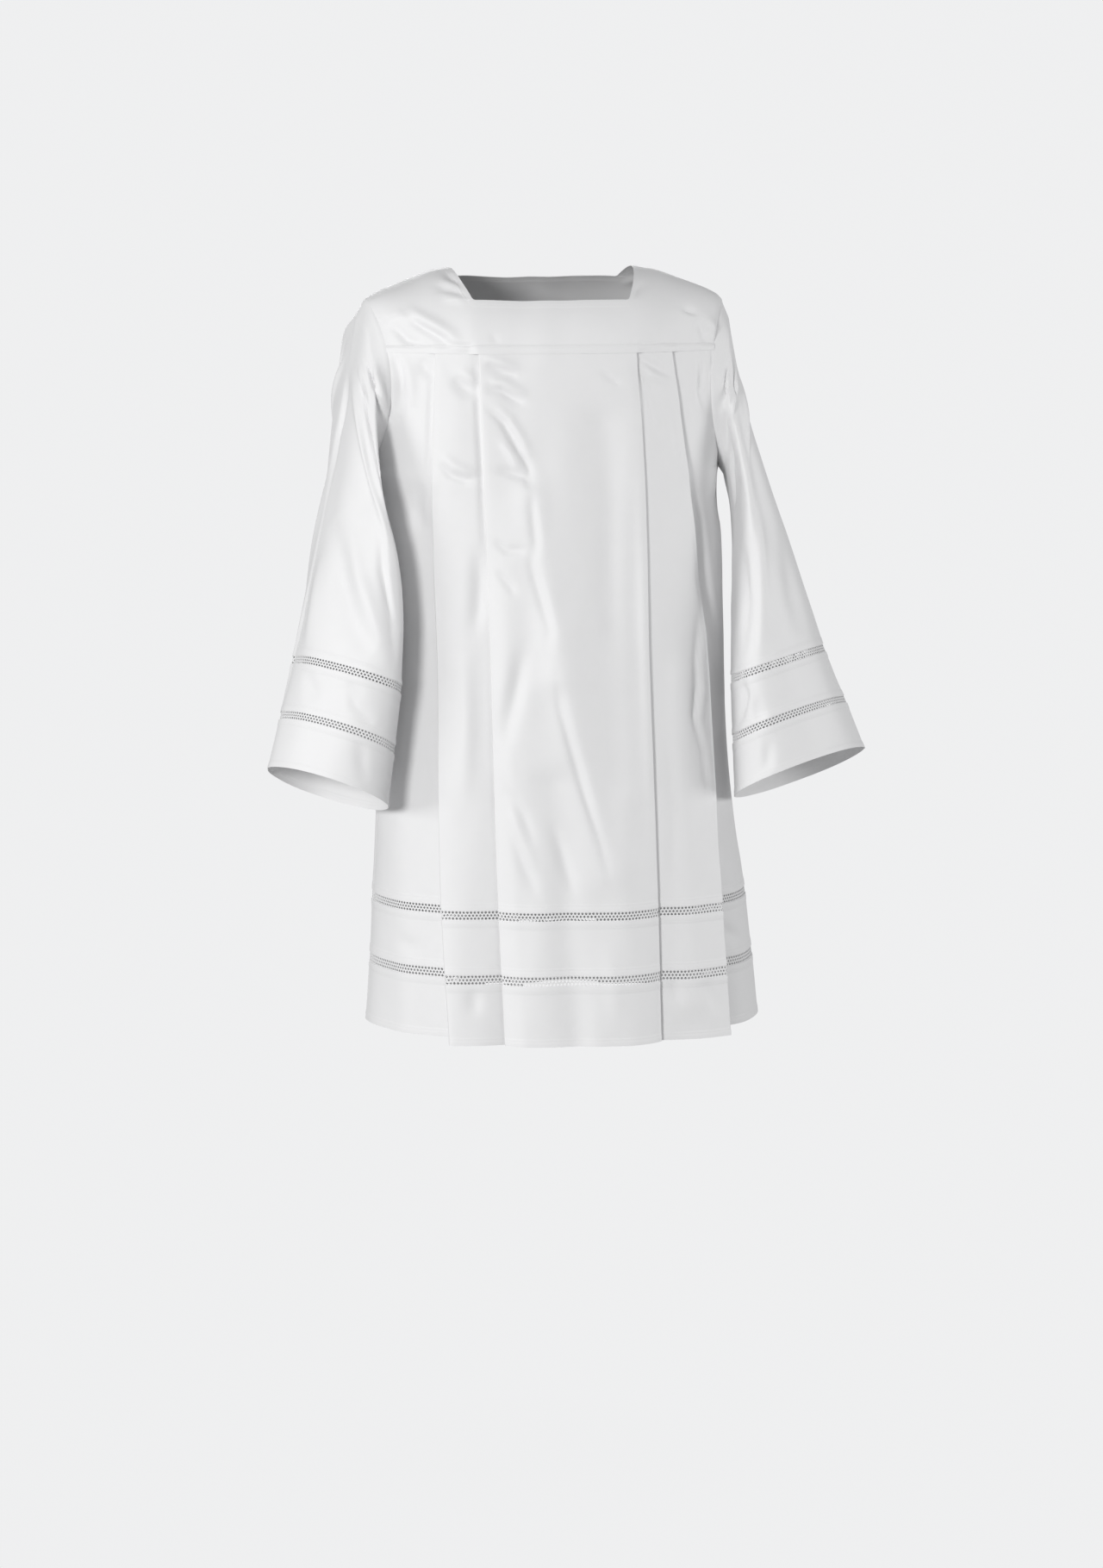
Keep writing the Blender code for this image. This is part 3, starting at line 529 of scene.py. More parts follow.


# Creases listed one by one, in millimetres. A row has the half width, the lift, how much steeper
# the second side is, and the corners of the line, two numbers each. On skirt and yokes a corner is
# x and z seen from the front, and on a sleeve the way round from its top and minus the way down.
MILLIMETRES = 1000
FOLDS = {
    "front_skirt": [
        # Under the left end of the yoke.
        (6, -4.2, 0, -186, -97, -182, -112, -179, -142, -180, -172),
        (7, 3.5, 0, -175, -100, -169, -127, -168, -160),
        (4, -3.2, 0, -193, -97, -191, -112, -190, -124),
        (7, -3.2, 0, -157, -100, -151, -115, -143, -124),
        (9, -3.8, 0, -120, -121, -110, -133, -94, -145),
        (7, 2.6, 0, -115, -115, -101, -124, -92, -130),
        # Drags that run inward from the inner left fold.
        (6, 3.2, 0, -88, -100, -66, -106, -44, -115),
        (6, -3.8, 0, -85, -106, -68, -115, -46, -121),
        (5, -3.6, 0.2, -86, -136, -67, -139, -52, -148, -40, -154),
        (6, 3.5, 0, -81, -127, -63, -130, -45, -139, -37, -145),
        (5, -4.2, 0.3, -83, -160, -66, -175, -52, -199, -39, -224, -31, -245),
        (6, 3.2, 0, -75, -154, -57, -172, -43, -196, -34, -220),
        (5, 3.2, 0, -68, -196, -56, -211, -46, -230),
        (5, -3.9, 0.2, -75, -230, -58, -233, -41, -239, -33, -251),
        (6, -2.6, 0, -33, -251, -33, -275, -29, -314, -31, -335),
        (10, 1.2, 0, -23, -245, -22, -284, -18, -335),
        (5, -2.4, 0, -78, -311, -62, -323, -39, -323),
        (5, -2.3, 0, -75, -347, -61, -362, -52, -374),
        # Between the two left folds.
        (6, -3.2, 0.3, -139, -220, -126, -236, -110, -242, -94, -239),
        (7, 3.2, 0, -137, -214, -121, -227, -105, -233, -94, -233),
        (6, -3.2, 0, -156, -245, -160, -278, -154, -308),
        (6, 3.2, 0, -150, -233, -151, -266, -150, -299),
        (9, -4.1, 0, -95, -326, -94, -362, -96, -392, -101, -422),
        (11, 3.5, 0, -112, -440, -110, -520, -114, -620),
        # The middle, from the chest to the nets.
        (22, 4.2, 0, 0, -110, 4, -245, 0, -400, 6, -560),
        (28, -5.2, 0, 52, -115, 60, -245, 60, -400, 64, -600, 66, -700),
        (6, -2.6, 0, -37, -323, -31, -353, -23, -380, -14, -413, -16, -435),
        (11, 1.4, 0, -22, -323, -12, -374, -5, -419, -2, -450),
        (10, -4.4, 0, -44, -434, -52, -477, -63, -522, -68, -555),
        (6, -3.3, 0.25, -7, -470, -3, -507, 11, -561, 27, -618, 42, -667, 53, -712),
        (10, 1.8, 0, 2, -474, 10, -516, 24, -570, 41, -624, 52, -673),
        (8, -2.8, 0, -76, -600, -61, -648, -45, -694, -31, -733),
        (7, -2.2, 0, -70, -597, -49, -630, -35, -670),
        (8, 2.4, 0, -67, -624, -51, -660, -35, -697),
        (8, -2.4, 0, -15, -639, -1, -688, 12, -727),
        # From the inner right fold outward.
        (8, -4.1, 0, 94, -100, 99, -121, 109, -160, 117, -203),
        (5, -3.5, 0.2, 94, -100, 114, -112, 139, -124),
        (6, 2.9, 0, 94, -106, 114, -121, 135, -133),
        (4, -2.3, 0, 50, -117, 62, -125, 76, -133),
        (8, -3.5, 0, 140, -157, 142, -187, 149, -230),
        (6, -3.9, 0, 159, -251, 172, -290, 174, -368, 190, -432, 205, -492),
        (8, 3.8, 0, 173, -260, 182, -314, 192, -386, 203, -450),
        (5, -4, 0.3, 171, -401, 165, -462, 166, -486, 161, -525, 173, -564, 179, -621),
        (6, 3.2, 0, 178, -407, 172, -465, 174, -495, 169, -531, 177, -570, 186, -627),
        (9, -2.9, 0, 128, -560, 132, -640, 130, -720),
        # Hollows beside the two left folds, under the yoke.
        (3.5, -2, 0, -143, -99, -146, -150, -149, -220, -149, -300),
        (3.5, -2.2, 0, -95, -99, -94, -150, -91, -220, -88, -330),
        # A ridge along the inner right fold, and the hollow to its left.
        (6, 2.6, 0, 97, -200, 101, -400, 105, -560, 109, -725),
        (10, -2.6, 0, 86, -250, 88, -400, 92, -560, 96, -715),
        # Along the right armhole and under it.
        (5, -4.7, 0, 175, -97, 180, -115, 178, -139, 181, -166),
        (6, 4.1, 0, 186, -97, 189, -121, 187, -145),
        (5, -3.9, 0, 193, -100, 191, -121, 190, -142),
        (7, -4.7, 0, 203, -212, 207, -245, 206, -275, 208, -308),
        (7, 3.8, 0, 202, -209, 195, -242, 198, -275),
        # Strip and hem.
        (7, -2.6, 0, 129, -832, 133, -847, 141, -859),
        (7, -2.6, 0, 168, -835, 176, -853, 185, -874),
        (6, -2.9, 0, 195, -784, 218, -799, 236, -805),
        (9, -2.6, 0, -183, -790, -171, -799, -161, -805),
        (9, -2.6, 0, -107, -838, -107, -856, -109, -868),
        (12, 2.6, 0, 50, -780, 58, -830, 60, -895),
    ],
    "back_skirt": [
        (6, -3.9, 0.2, -180, -116, -176, -140, -178, -185),
        (7, 3.5, 0, -169, -118, -166, -150, -167, -176),
        (6, -4.4, 0.2, 182, -116, 178, -150, 181, -190),
        (7, 4.1, 0, 171, -120, 168, -160, 171, -205),
        (6, -3.9, 0.3, -79, -118, -60, -134, -40, -146),
        (6, 3.5, 0, -77, -128, -58, -144, -38, -158),
        (5, -4.4, 0.2, 80, -140, 62, -162, 50, -190, 44, -222),
        (7, 3.9, 0, 74, -130, 54, -154, 41, -184, 36, -214),
        (6, -4.1, 0, -74, -228, -56, -240, -34, -243),
        (7, 3.2, 0, -128, -200, -114, -214, -96, -218),
        (6, -3.5, 0.2, -130, -210, -116, -226, -98, -230),
        (22, 3.6, 0, -10, -150, -4, -290, -8, -430),
        (26, -3.2, 0, 30, -180, 22, -320, 30, -470),
        (7, -4.2, 0, -50, -300, -40, -350, -32, -410),
        (8, 4.1, 0, -40, -300, -30, -355, -22, -415),
        (7, -5.2, 0.2, 20, -430, 10, -500, -8, -580, -24, -660),
        (10, 4.7, 0, 10, -440, -1, -510, -19, -590, -34, -650),
        (6, -4.7, 0.3, -158, -380, -163, -440, -158, -500, -166, -580),
        (7, 3.9, 0, -149, -390, -154, -445, -150, -505, -156, -570),
        (7, -4.4, 0, 150, -270, 158, -350, 166, -440, 180, -520),
        (9, 4.1, 0, 161, -280, 169, -360, 178, -450),
        (9, -4.1, 0, 56, -590, 48, -650, 36, -720),
        (9, 3.5, 0, 68, -610, 60, -660, 50, -715),
        (9, -3.8, 0, -110, -600, -98, -660, -94, -725),
        (8, -2.9, 0, -150, -780, -158, -800, -170, -808),
        (8, -2.9, 0, 20, -840, 28, -865, 26, -890),
        (10, 2.9, 0, -60, -770, -64, -830, -58, -895),
        (8, -2.6, 0, 196, -838, 206, -856, 212, -872),
    ],
    "front_yoke": [
        (6, -4.2, 0.2, -193, -61, -182, -71, -172, -82, -155, -88),
        (7, 5.2, 0.2, -186, -53, -164, -53, -142, -63, -125, -73, -112, -90),
        (5, -4.1, 0, -174, -47, -154, -65, -136, -76, -124, -88),
        (4, -2.6, 0, -135, -22, -116, -24, -101, -30),
        (4, -2.6, 0, -123, -7, -110, -16, -102, -26),
        (5, 2.3, 0, -132, -15, -113, -19, -101, -29),
        (5, 2.3, 0, -130, -32, -115, -33, -102, -36),
        (4, -2.3, 0, 114, -17, 103, -23, 96, -31),
        (4, -2.9, 0.3, 156, -46, 164, -50, 173, -54),
        (5, -0.9, 0, -76, -70, -70, -88),
        (6, -3.8, 0, 176, -61, 182, -75, 183, -92),
        (6, 3.8, 0, 186, -57, 195, -75, 195, -92),
        (5, -3.8, 0, -205, -52, -199, -70, -194, -90),
    ],
    "back_yoke": [
        (6, -3.8, 0.2, -186, -50, -172, -70, -150, -82, -128, -86),
        (7, 3.9, 0, -178, -46, -160, -60, -138, -70),
        (6, -4.1, 0.2, 192, -60, 176, -80, 158, -98),
        (7, 3.9, 0, 182, -52, 164, -70, 146, -88),
        (5, -2.3, 0, 130, -14, 116, -18, 106, -24),
        (5, -2, 0, -126, -12, -114, -20, -106, -26),
        (12, -2.6, 0, -50, -50, -20, -62, 12, -64),
        (6, -1.7, 0, 50, -92, 56, -108),
        (6, -1.7, 0, -30, -96, -34, -110),
    ],
    "left_sleeve": [
        # Round the armhole, in front.
        (5, -6.5, 0.2, 47, -71, 66, -62, 98, -37, 129, -12),
        (7, 5.2, 0, 68, -31, 87, -28, 108, -19, 129, -4),
        (6, 3.9, 0, 30, -96, 47, -105, 68, -105),
        (5, -4.2, 0, 7, -120, 5, -161, -2, -188, -2, -235),
        (5, -6.5, 0.2, 33, -102, 56, -120, 89, -142, 117, -167, 133, -204),
        (8, 5.2, 0, 21, -117, 44, -148, 68, -176, 96, -204, 117, -232),
        # Down to the nets.
        (14, -6, 0, 30, -269, 63, -324, 91, -358, 119, -380),
        (12, 4.4, 0, 56, -260, 84, -309, 112, -343, 136, -368),
        (9, -4.4, 0, 101, -232, 112, -281, 138, -330, 157, -380),
        (12, 4.1, 0, 19, -306, 30, -352, 35, -392),
        (9, -3.9, 0, 96, -418, 110, -445, 138, -462),
        (9, -2.9, 0, 42, -421, 56, -441, 63, -455),
        (9, -3.2, 0, 122, -486, 129, -512, 138, -536),
        # Behind and on the outer side.
        (7, -5.5, 0.2, 390, -60, 365, -85, 335, -110, 300, -140),
        (8, 4.4, 0, 400, -85, 372, -112, 340, -140),
        (12, -5.2, 0, 385, -220, 365, -290, 340, -350),
        (12, 3.9, 0, 405, -230, 385, -300, 362, -370),
        (10, -3.9, 0, 300, -230, 290, -300, 270, -370),
        (9, -3.2, 0, 330, -425, 322, -445, 300, -460),
        (9, -2.9, 0, 372, -490, 366, -510, 368, -535),
        (12, 3.5, 0, 230, -300, 226, -400, 232, -500),
    ],
    "right_sleeve": [
        (5, -6, 0.2, 68, -42, 80, -34, 103, -28, 118, -16),
        (6, 4.4, 0, 52, -87, 82, -68, 108, -59),
        (7, -4.1, 0, 131, -59, 157, -77, 178, -120),
        (5, -4.9, 0, 40, -49, 54, -71, 87, -71),
        (8, 3.8, 0, 30, -100, 50, -135, 78, -160),
        (12, -4.2, 0, 152, -225, 147, -309, 164, -377),
        (12, 4.1, 0, 94, -235, 115, -318, 136, -392),
        (16, -3.5, 0, 44, -272, 63, -343, 66, -386),
        (8, -4.7, 0.2, 171, -412, 164, -433, 182, -463),
        (8, -3.5, 0, 152, -441, 147, -458, 143, -476),
        (8, -2.9, 0, 140, -497, 140, -519, 145, -538),
        (7, -5.2, 0.2, 394, -55, 370, -90, 335, -120, 305, -140),
        (8, 4.4, 0, 404, -80, 380, -118, 346, -150),
        (12, -4.7, 0, 380, -210, 372, -290, 350, -360),
        (12, 3.9, 0, 404, -250, 396, -320, 378, -385),
        (10, -3.9, 0, 296, -240, 284, -310, 276, -380),
        (9, -3.2, 0, 340, -420, 330, -440, 312, -458),
        (9, -2.9, 0, 380, -492, 372, -512, 374, -538),
    ],
}


# A crease fades out at its ends, but not quite to nothing.
END_SHARE, END_POWER = 0.02, 0.7


def fold_height(x, z, fold):
    """Height of one crease over these places, fading in and out along its line."""
    half_width, lift, lean, *line = fold
    corners = np.reshape(line, (-1, 2)) / MILLIMETRES
    lengths = np.linalg.norm(np.diff(corners, axis=0), axis=1)
    starts = run(lengths)
    nearest = np.full(np.broadcast(x, z).shape, np.inf)
    side = np.zeros(nearest.shape)
    place = np.zeros(nearest.shape)
    for start, end, length, before in zip(corners, corners[1:], lengths, starts):
        way = (end - start) / length
        t = np.clip((x - start[0]) * way[0] + (z - start[1]) * way[1], 0, length)
        dx, dz = x - start[0] - t * way[0], z - start[1] - t * way[1]
        gap = np.hypot(dx, dz)
        closer = gap < nearest
        nearest = np.where(closer, gap, nearest)
        side = np.where(closer, way[0] * dz - way[1] * dx, side)
        place = np.where(closer, before + t, place)
    width = half_width / MILLIMETRES * np.where(side > 0, 1 + lean, 1 - lean)
    fade = np.sin(math.pi * np.clip(place / starts[-1], END_SHARE, 1 - END_SHARE)) ** END_POWER
    return lift / MILLIMETRES * fade * np.exp(-((nearest / width) ** 2))


# Long shallow waves that no cloth is without: direction across and down, per metre, and height.
Swell = namedtuple("Swell", "across down start height")
SWELLS = [
    Swell(38.0, 7.0, 0.4, 0.0007),
    Swell(-61.0, 11.0, 1.9, 0.00045),
    Swell(97.0, -9.0, 2.7, 0.0003),
    Swell(23.0, 31.0, 4.1, 0.00035),
    Swell(-143.0, 21.0, 0.9, 0.00016),
    Swell(71.0, 83.0, 3.3, 0.00012),
]


def turned_edge(gap):
    """Relief of cloth turned under and stitched down, by its distance from the edge."""
    band = BAND_RISE * (1 - smooth(BAND - BAND_SOFT, BAND + BAND_SOFT, gap))
    return band - STITCH_DIP * np.exp(-(((gap - STITCH_LINE) / STITCH_GROOVE) ** 2))


def drape(place, x, z):
    """Height of all the fine folds at these places of one part."""
    height = np.zeros(np.broadcast(x, z).shape)
    for swell in SWELLS:
        height += swell.height * np.sin(swell.across * x + swell.down * z + swell.start)
    round_way = 2 * math.pi * RING_RADIUS
    for fold in FOLDS[place]:
        height += fold_height(x, z, fold)
        if "sleeve" in place:
            height += fold_height(x - round_way, z, fold) + fold_height(x + round_way, z, fold)
    return height


# At sharp folds a mitre grows no longer than this allows, and edges sharper than the angle stay so.
MITRE_LEAST, SHARP_ANGLE = 0.35, 62


def outward(grid, ring):
    """Mitred outward directions of a grid whose rows run down and columns run round."""
    down = np.gradient(grid, axis=0)
    beyond = grid[:, :1] if ring else grid[:, -1:] * 2 - grid[:, -2:-1]
    step = np.diff(grid, axis=1, append=beyond)
    after = unit(np.cross(down, step))
    before = np.roll(after, 1, axis=1)
    if not ring:
        before[:, 0] = after[:, 0]
        after[:, -1] = before[:, -1]
    return (before + after) / np.maximum(1 + np.sum(before * after, -1, keepdims=True), MITRE_LEAST)


def shell(name, grid, thick, shader, ring=False, missing=()):
    """A thin closed shell round a grid of middle points, with its cloth's own measure as UVs."""
    rows, columns = grid.shape[:2]
    out = outward(grid, ring) * thick / 2
    points = np.concatenate([(grid + out).reshape(-1, 3), (grid - out).reshape(-1, 3)])
    beyond = grid[:, :1] if ring else grid[:, -1:]
    along = run(np.linalg.norm(np.diff(grid, axis=1, append=beyond), axis=-1).mean(axis=0))
    fall = run(np.linalg.norm(np.diff(grid, axis=0), axis=-1).mean(axis=1))
    under = rows * columns
    span = columns if ring else columns - 1
    cells = {(r, c) for r in range(rows - 1) for c in range(span)} - set(missing)
    faces, places = [], []
    for r, c in sorted(cells):
        beside = (c + 1) % columns
        before, after = ((c - 1) % columns, beside) if ring else (c - 1, c + 1)
        here, below = r * columns, (r + 1) * columns
        corners = [here + c, below + c, below + beside, here + beside]
        place = [
            (along[c], -fall[r]),
            (along[c], -fall[r + 1]),
            (along[c + 1], -fall[r + 1]),
            (along[c + 1], -fall[r]),
        ]
        faces.append(corners)
        places += place
        faces.append([corner + under for corner in reversed(corners)])
        places += place[::-1]
        neighbours = [(r, before), (r + 1, c), (r, after), (r - 1, c)]
        for edge, neighbour in enumerate(neighbours):
            if neighbour not in cells:
                a, b = corners[edge], corners[(edge + 1) % 4]
                faces.append([b, a, a + under, b + under])
                places += [place[(edge + 1) % 4], place[edge], place[edge], place[(edge + 1) % 4]]
    return piece(name, points, faces, shader, places)


def piece(name, points, faces, shader, places=None):
    """A mesh object that rides on the root body."""
    used = np.unique(np.concatenate([np.ravel(face) for face in faces]))
    index = np.full(len(points), -1)
    index[used] = np.arange(len(used))
    mesh = bpy.data.meshes.new(name)
    mesh.from_pydata(points[used].tolist(), [], [index[face].tolist() for face in faces])
    if places is not None:
        layer = mesh.uv_layers.new(name="cloth")
        layer.data.foreach_set("uv", np.ravel(places).astype(np.float32))
    mesh.shade_smooth()
    mesh.set_sharp_from_angle(angle=math.radians(SHARP_ANGLE))
    mesh.materials.append(shader)
    made = add_object(name, mesh)
    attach(made, "root")
    return made


HOLE_PITCH = 0.0043
HOLE_HALF_WIDTH, HOLE_HALF_HEIGHT = 0.36, 0.455
NET_EDGE = 0.115
NET_ROWS = 3
# A hole's corners from its top left round clockwise, as parts of its half width and height.
HOLE = ((-0.6, -0.52), (0, -1), (0.6, -0.52), (1, 0), (0.6, 0.52), (0, 1), (-0.6, 0.52), (-1, 0))
# The first and the last row have flatter outer ends.
HOLE_TOP = {0: (-0.82, -0.62), 1: (0, -0.92), 2: (0.82, -0.62)}
HOLE_FOOT = {6 - k: (a, -b) for k, (a, b) in HOLE_TOP.items()}
CELL = ((0, 0), (1, 0), (2, 0), (2, 1), (2, 2), (1, 2), (0, 2), (0, 1))


def net(name, grid, shader, ring=False):
    """An insertion with real holes in three staggered rows, along a grid of its top to its end."""
    wide = np.concatenate([grid, grid[:, :1]], axis=1) if ring else grid
    out = unit(outward(grid, ring))
    out = np.concatenate([out, out[:, :1]], axis=1) if ring else out
    middle = wide[len(wide) // 2]
    along = run(np.linalg.norm(np.diff(middle, axis=0), axis=1))
    count = round(along[-1] / HOLE_PITCH)
    pitch = along[-1] / count
    places, faces = {}, []

    def corner(key, s, v):
        if key not in places:
            places[key] = (len(places), s, v)
        return places[key][0]

    def edge_corner(half, level):
        half = half % (2 * count) if ring else half
        v = NET_EDGE + (1 - 2 * NET_EDGE) * level / (2 * NET_ROWS)
        v = {-1: 0.0, 2 * NET_ROWS + 1: 1.0}.get(level, v)
        return corner(("edge", half, level), half * pitch / 2, v)

    for row in range(NET_ROWS):
        stagger = row % 2
        ends = {0: HOLE_TOP, NET_ROWS - 1: HOLE_FOOT}.get(row, {})
        for column in range(count if ring or not stagger else count - 1):
            ring_keys = [(2 * column + stagger + a, 2 * row + b) for a, b in CELL]
            rim = [edge_corner(*key) for key in ring_keys]
            hole = []
            for k, (a, b) in enumerate(HOLE):
                a, b = ends.get(k, (a, b))
                s = (column + stagger / 2 + 0.5 + a * HOLE_HALF_WIDTH) * pitch
                share = (row + 0.5 + b * HOLE_HALF_HEIGHT) / NET_ROWS
                v = NET_EDGE + (1 - 2 * NET_EDGE) * share
                hole.append(corner(("hole", row, column, k), s, v))
            for k in range(8):
                after = (k + 1) % 8
                faces.append([rim[k], hole[k], hole[after], rim[after]])
        if stagger and not ring:
            for half in (0, 2 * count - 1):
                for level in (2 * row, 2 * row + 1):
                    cell = [(half + a, level + b) for a, b in ((0, 0), (0, 1), (1, 1), (1, 0))]
                    faces.append([edge_corner(*key) for key in cell])
    for half in range(2 * count):
        for level, beyond in ((0, -1), (2 * NET_ROWS, 2 * NET_ROWS + 1)):
            a, b = edge_corner(half, level), edge_corner(half + 1, level)
            c, d = edge_corner(half + 1, beyond), edge_corner(half, beyond)
            faces.append([d, a, b, c] if level == 0 else [a, d, c, b])
    spots = np.array([(s, v) for _, s, v in sorted(places.values())])
    s = np.mod(spots[:, 0], along[-1]) if ring else spots[:, 0]
    levels = np.linspace(0, 1, len(wide))
    low = np.clip(np.searchsorted(levels, spots[:, 1]) - 1, 0, len(levels) - 2)
    blend = ((spots[:, 1] - levels[low]) * (len(levels) - 1))[:, None]

    def sample(field):
        rows = np.array([between(s, along, row) for row in field])
        pick = np.arange(len(s))
        return rows[low, pick] * (1 - blend) + rows[low + 1, pick] * blend

    points, normals = sample(wide), unit(sample(out)) * NET / 2
    faces = np.array(faces)
    both = np.concatenate([points + normals, points - normals])
    under = len(points)
    edges = {}
    for face in faces:
        for k in range(4):
            edges[(face[k], face[(k + 1) % 4])] = True
    rims = [[b, a, a + under, b + under] for a, b in edges if (b, a) not in edges]
    everything = faces.tolist() + (faces[:, ::-1] + under).tolist() + rims
    return piece(name, both, [np.array(face) for face in everything], shader)


def add_object(name, data):
    """A new object in the scene."""
    made = bpy.data.objects.new(name, data)
    bpy.context.scene.collection.objects.link(made)
    return made


def fill(node, **values):
    """Sets a node's sockets by their names, with an underscore for each space."""
    for name, value in values.items():
        node.inputs[name.replace("_", " ")].default_value = value
    return node


def new_material(name, **values):
    """A material with these values on its shader, its nodes and its links."""
    made = bpy.data.materials.new(name)
    made.use_nodes = True
    nodes = made.node_tree.nodes
    return made, fill(nodes["Principled BSDF"], **values), nodes, made.node_tree.links


def cloth_material(name, colour, roughness, weave):
    """Fine plain-woven cloth: tiny threads both ways, faint mottling and a soft sheen."""
    made, shader, nodes, links = new_material(
        name, Roughness=roughness, Specular_IOR_Level=0.35, Sheen_Weight=0.12, Sheen_Roughness=0.45
    )
    place = nodes.new("ShaderNodeTexCoord")
    crossed = nodes.new("ShaderNodeMath")
    crossed.operation = "MAXIMUM"
    for thread, turn in enumerate((0.0, math.pi / 2)):
        mapping = fill(nodes.new("ShaderNodeMapping"), Rotation=(0, 0, turn))
        wave = fill(nodes.new("ShaderNodeTexWave"), Scale=weave, Distortion=0.6, Detail_Scale=0.4)
        links.new(place.outputs["UV"], mapping.inputs["Vector"])
        links.new(mapping.outputs["Vector"], wave.inputs["Vector"])
        links.new(wave.outputs["Fac"], crossed.inputs[thread])
    cloud = fill(nodes.new("ShaderNodeTexNoise"), Scale=55.0, Detail=5.0)
    links.new(place.outputs["Object"], cloud.inputs["Vector"])
    tint = nodes.new("ShaderNodeMix")
    tint.data_type = "RGBA"
    tint.inputs["A"].default_value = (*[MOTTLE * part for part in colour], 1)
    tint.inputs["B"].default_value = (*colour, 1)
    links.new(cloud.outputs["Fac"], tint.inputs["Factor"])
    links.new(tint.outputs["Result"], shader.inputs["Base Color"])
    fine = fill(nodes.new("ShaderNodeBump"), Strength=0.12, Distance=0.0002)
    crumple = fill(nodes.new("ShaderNodeBump"), Strength=0.18, Distance=0.0008)
    links.new(crossed.outputs["Value"], fine.inputs["Height"])
    links.new(cloud.outputs["Fac"], crumple.inputs["Height"])
    links.new(fine.outputs["Normal"], crumple.inputs["Normal"])
    links.new(crumple.outputs["Normal"], shader.inputs["Normal"])
    return made


def make_camera():
    data = bpy.data.cameras.new("camera")
    data.lens = CAMERA_LENS
    data.sensor_width = SENSOR_WIDTH
    data.clip_end = CLIP_END
    camera = add_object("camera", data)
    camera.location = CAMERA_PLACE
    camera.rotation_euler = (math.radians(90 - CAMERA_DROP), 0, -math.radians(CAMERA_TURN))
    bpy.context.scene.camera = camera


Lamp = namedtuple("Lamp", "name place size power colour", defaults=((1.0, 1.0, 1.0),))
LAMPS = [
    Lamp("key", (-2.8, -4.6, 0.6), 1.2, 144.0, (1.0, 0.998, 0.994)),
    Lamp("left", (-4.2, -1.4, 0.2), 1.8, 44.0),
    Lamp("right", (4.4, -0.5, 0.0), 1.8, 60.0),
    Lamp("fill", (3.0, -4.0, 0.5), 1.6, 13.0),
    Lamp("rear", (0.2, 4.8, 0.4), 2.2, 70.0),
]
AIM = (0.0, 0.0, -0.45)
BACKGROUND = (0.863, 0.866, 0.872)
WORLD_LIGHT = 0.42
FLOOR_COLOUR = (0.96, 0.96, 0.965)
FLOOR_RADIUS, FLOOR_CORNERS = 6, 96
# The floor is solid out to the first distance, and gone at the second.
FLOOR_FADE = (0.3, 1.5)
CLOTH_COLOUR = (0.83, 0.83, 0.835)
NET_COLOUR = (0.82, 0.82, 0.825)
SEWING_COLOUR = (0.8, 0.8, 0.805)
MOTTLE = 0.975


def make_lights():
    for lamp in LAMPS:
        data = bpy.data.lights.new(lamp.name, "AREA")
        data.shape = "DISK"
        data.size = lamp.size
        data.energy = lamp.power
        data.color = lamp.colour
        made = add_object(lamp.name, data)
        made.location = lamp.place
        made.visible_camera = False
        toward = Vector(AIM) - Vector(lamp.place)
        made.rotation_euler = toward.to_track_quat("-Z", "Y").to_euler()
    world = bpy.data.worlds.new("studio")
    world.use_nodes = True
    nodes, links = world.node_tree.nodes, world.node_tree.links
    seen, shed = nodes["Background"], nodes.new("ShaderNodeBackground")
    for light, strength in ((seen, 1.0), (shed, WORLD_LIGHT)):
        fill(light, Color=(*BACKGROUND, 1), Strength=strength)
    path, either = nodes.new("ShaderNodeLightPath"), nodes.new("ShaderNodeMixShader")
    links.new(path.outputs["Is Camera Ray"], either.inputs["Fac"])
    links.new(shed.outputs["Background"], either.inputs[1])
    links.new(seen.outputs["Background"], either.inputs[2])
    links.new(either.outputs["Shader"], nodes["World Output"].inputs["Surface"])
    bpy.context.scene.world = world
    bpy.context.scene.view_settings.view_transform = "Standard"


def make_floor():
    """A wide pale disc that fades out into the studio's own light."""
    turns = 2 * math.pi * np.arange(FLOOR_CORNERS) / FLOOR_CORNERS
    across, deep = np.cos(turns) * FLOOR_RADIUS, np.sin(turns) * FLOOR_RADIUS
    points = np.stack([across, deep, FLOOR + 0 * turns], -1)
    mesh = bpy.data.meshes.new("floor")
    mesh.from_pydata(points.tolist(), [], [list(range(FLOOR_CORNERS))])
    made, shader, nodes, links = new_material(
        "floor", Base_Color=(*FLOOR_COLOUR, 1), Roughness=0.9, Specular_IOR_Level=0.1
    )
    place = nodes.new("ShaderNodeTexCoord")
    reach = nodes.new("ShaderNodeVectorMath")
    reach.operation = "LENGTH"
    links.new(place.outputs["Object"], reach.inputs[0])
    fade = nodes.new("ShaderNodeMapRange")
    fill(fade, From_Min=FLOOR_FADE[0], From_Max=FLOOR_FADE[1], To_Min=1.0, To_Max=0.0)
    links.new(reach.outputs["Value"], fade.inputs["Value"])
    links.new(fade.outputs["Result"], shader.inputs["Alpha"])
    mesh.materials.append(made)
    add_object("floor", mesh)


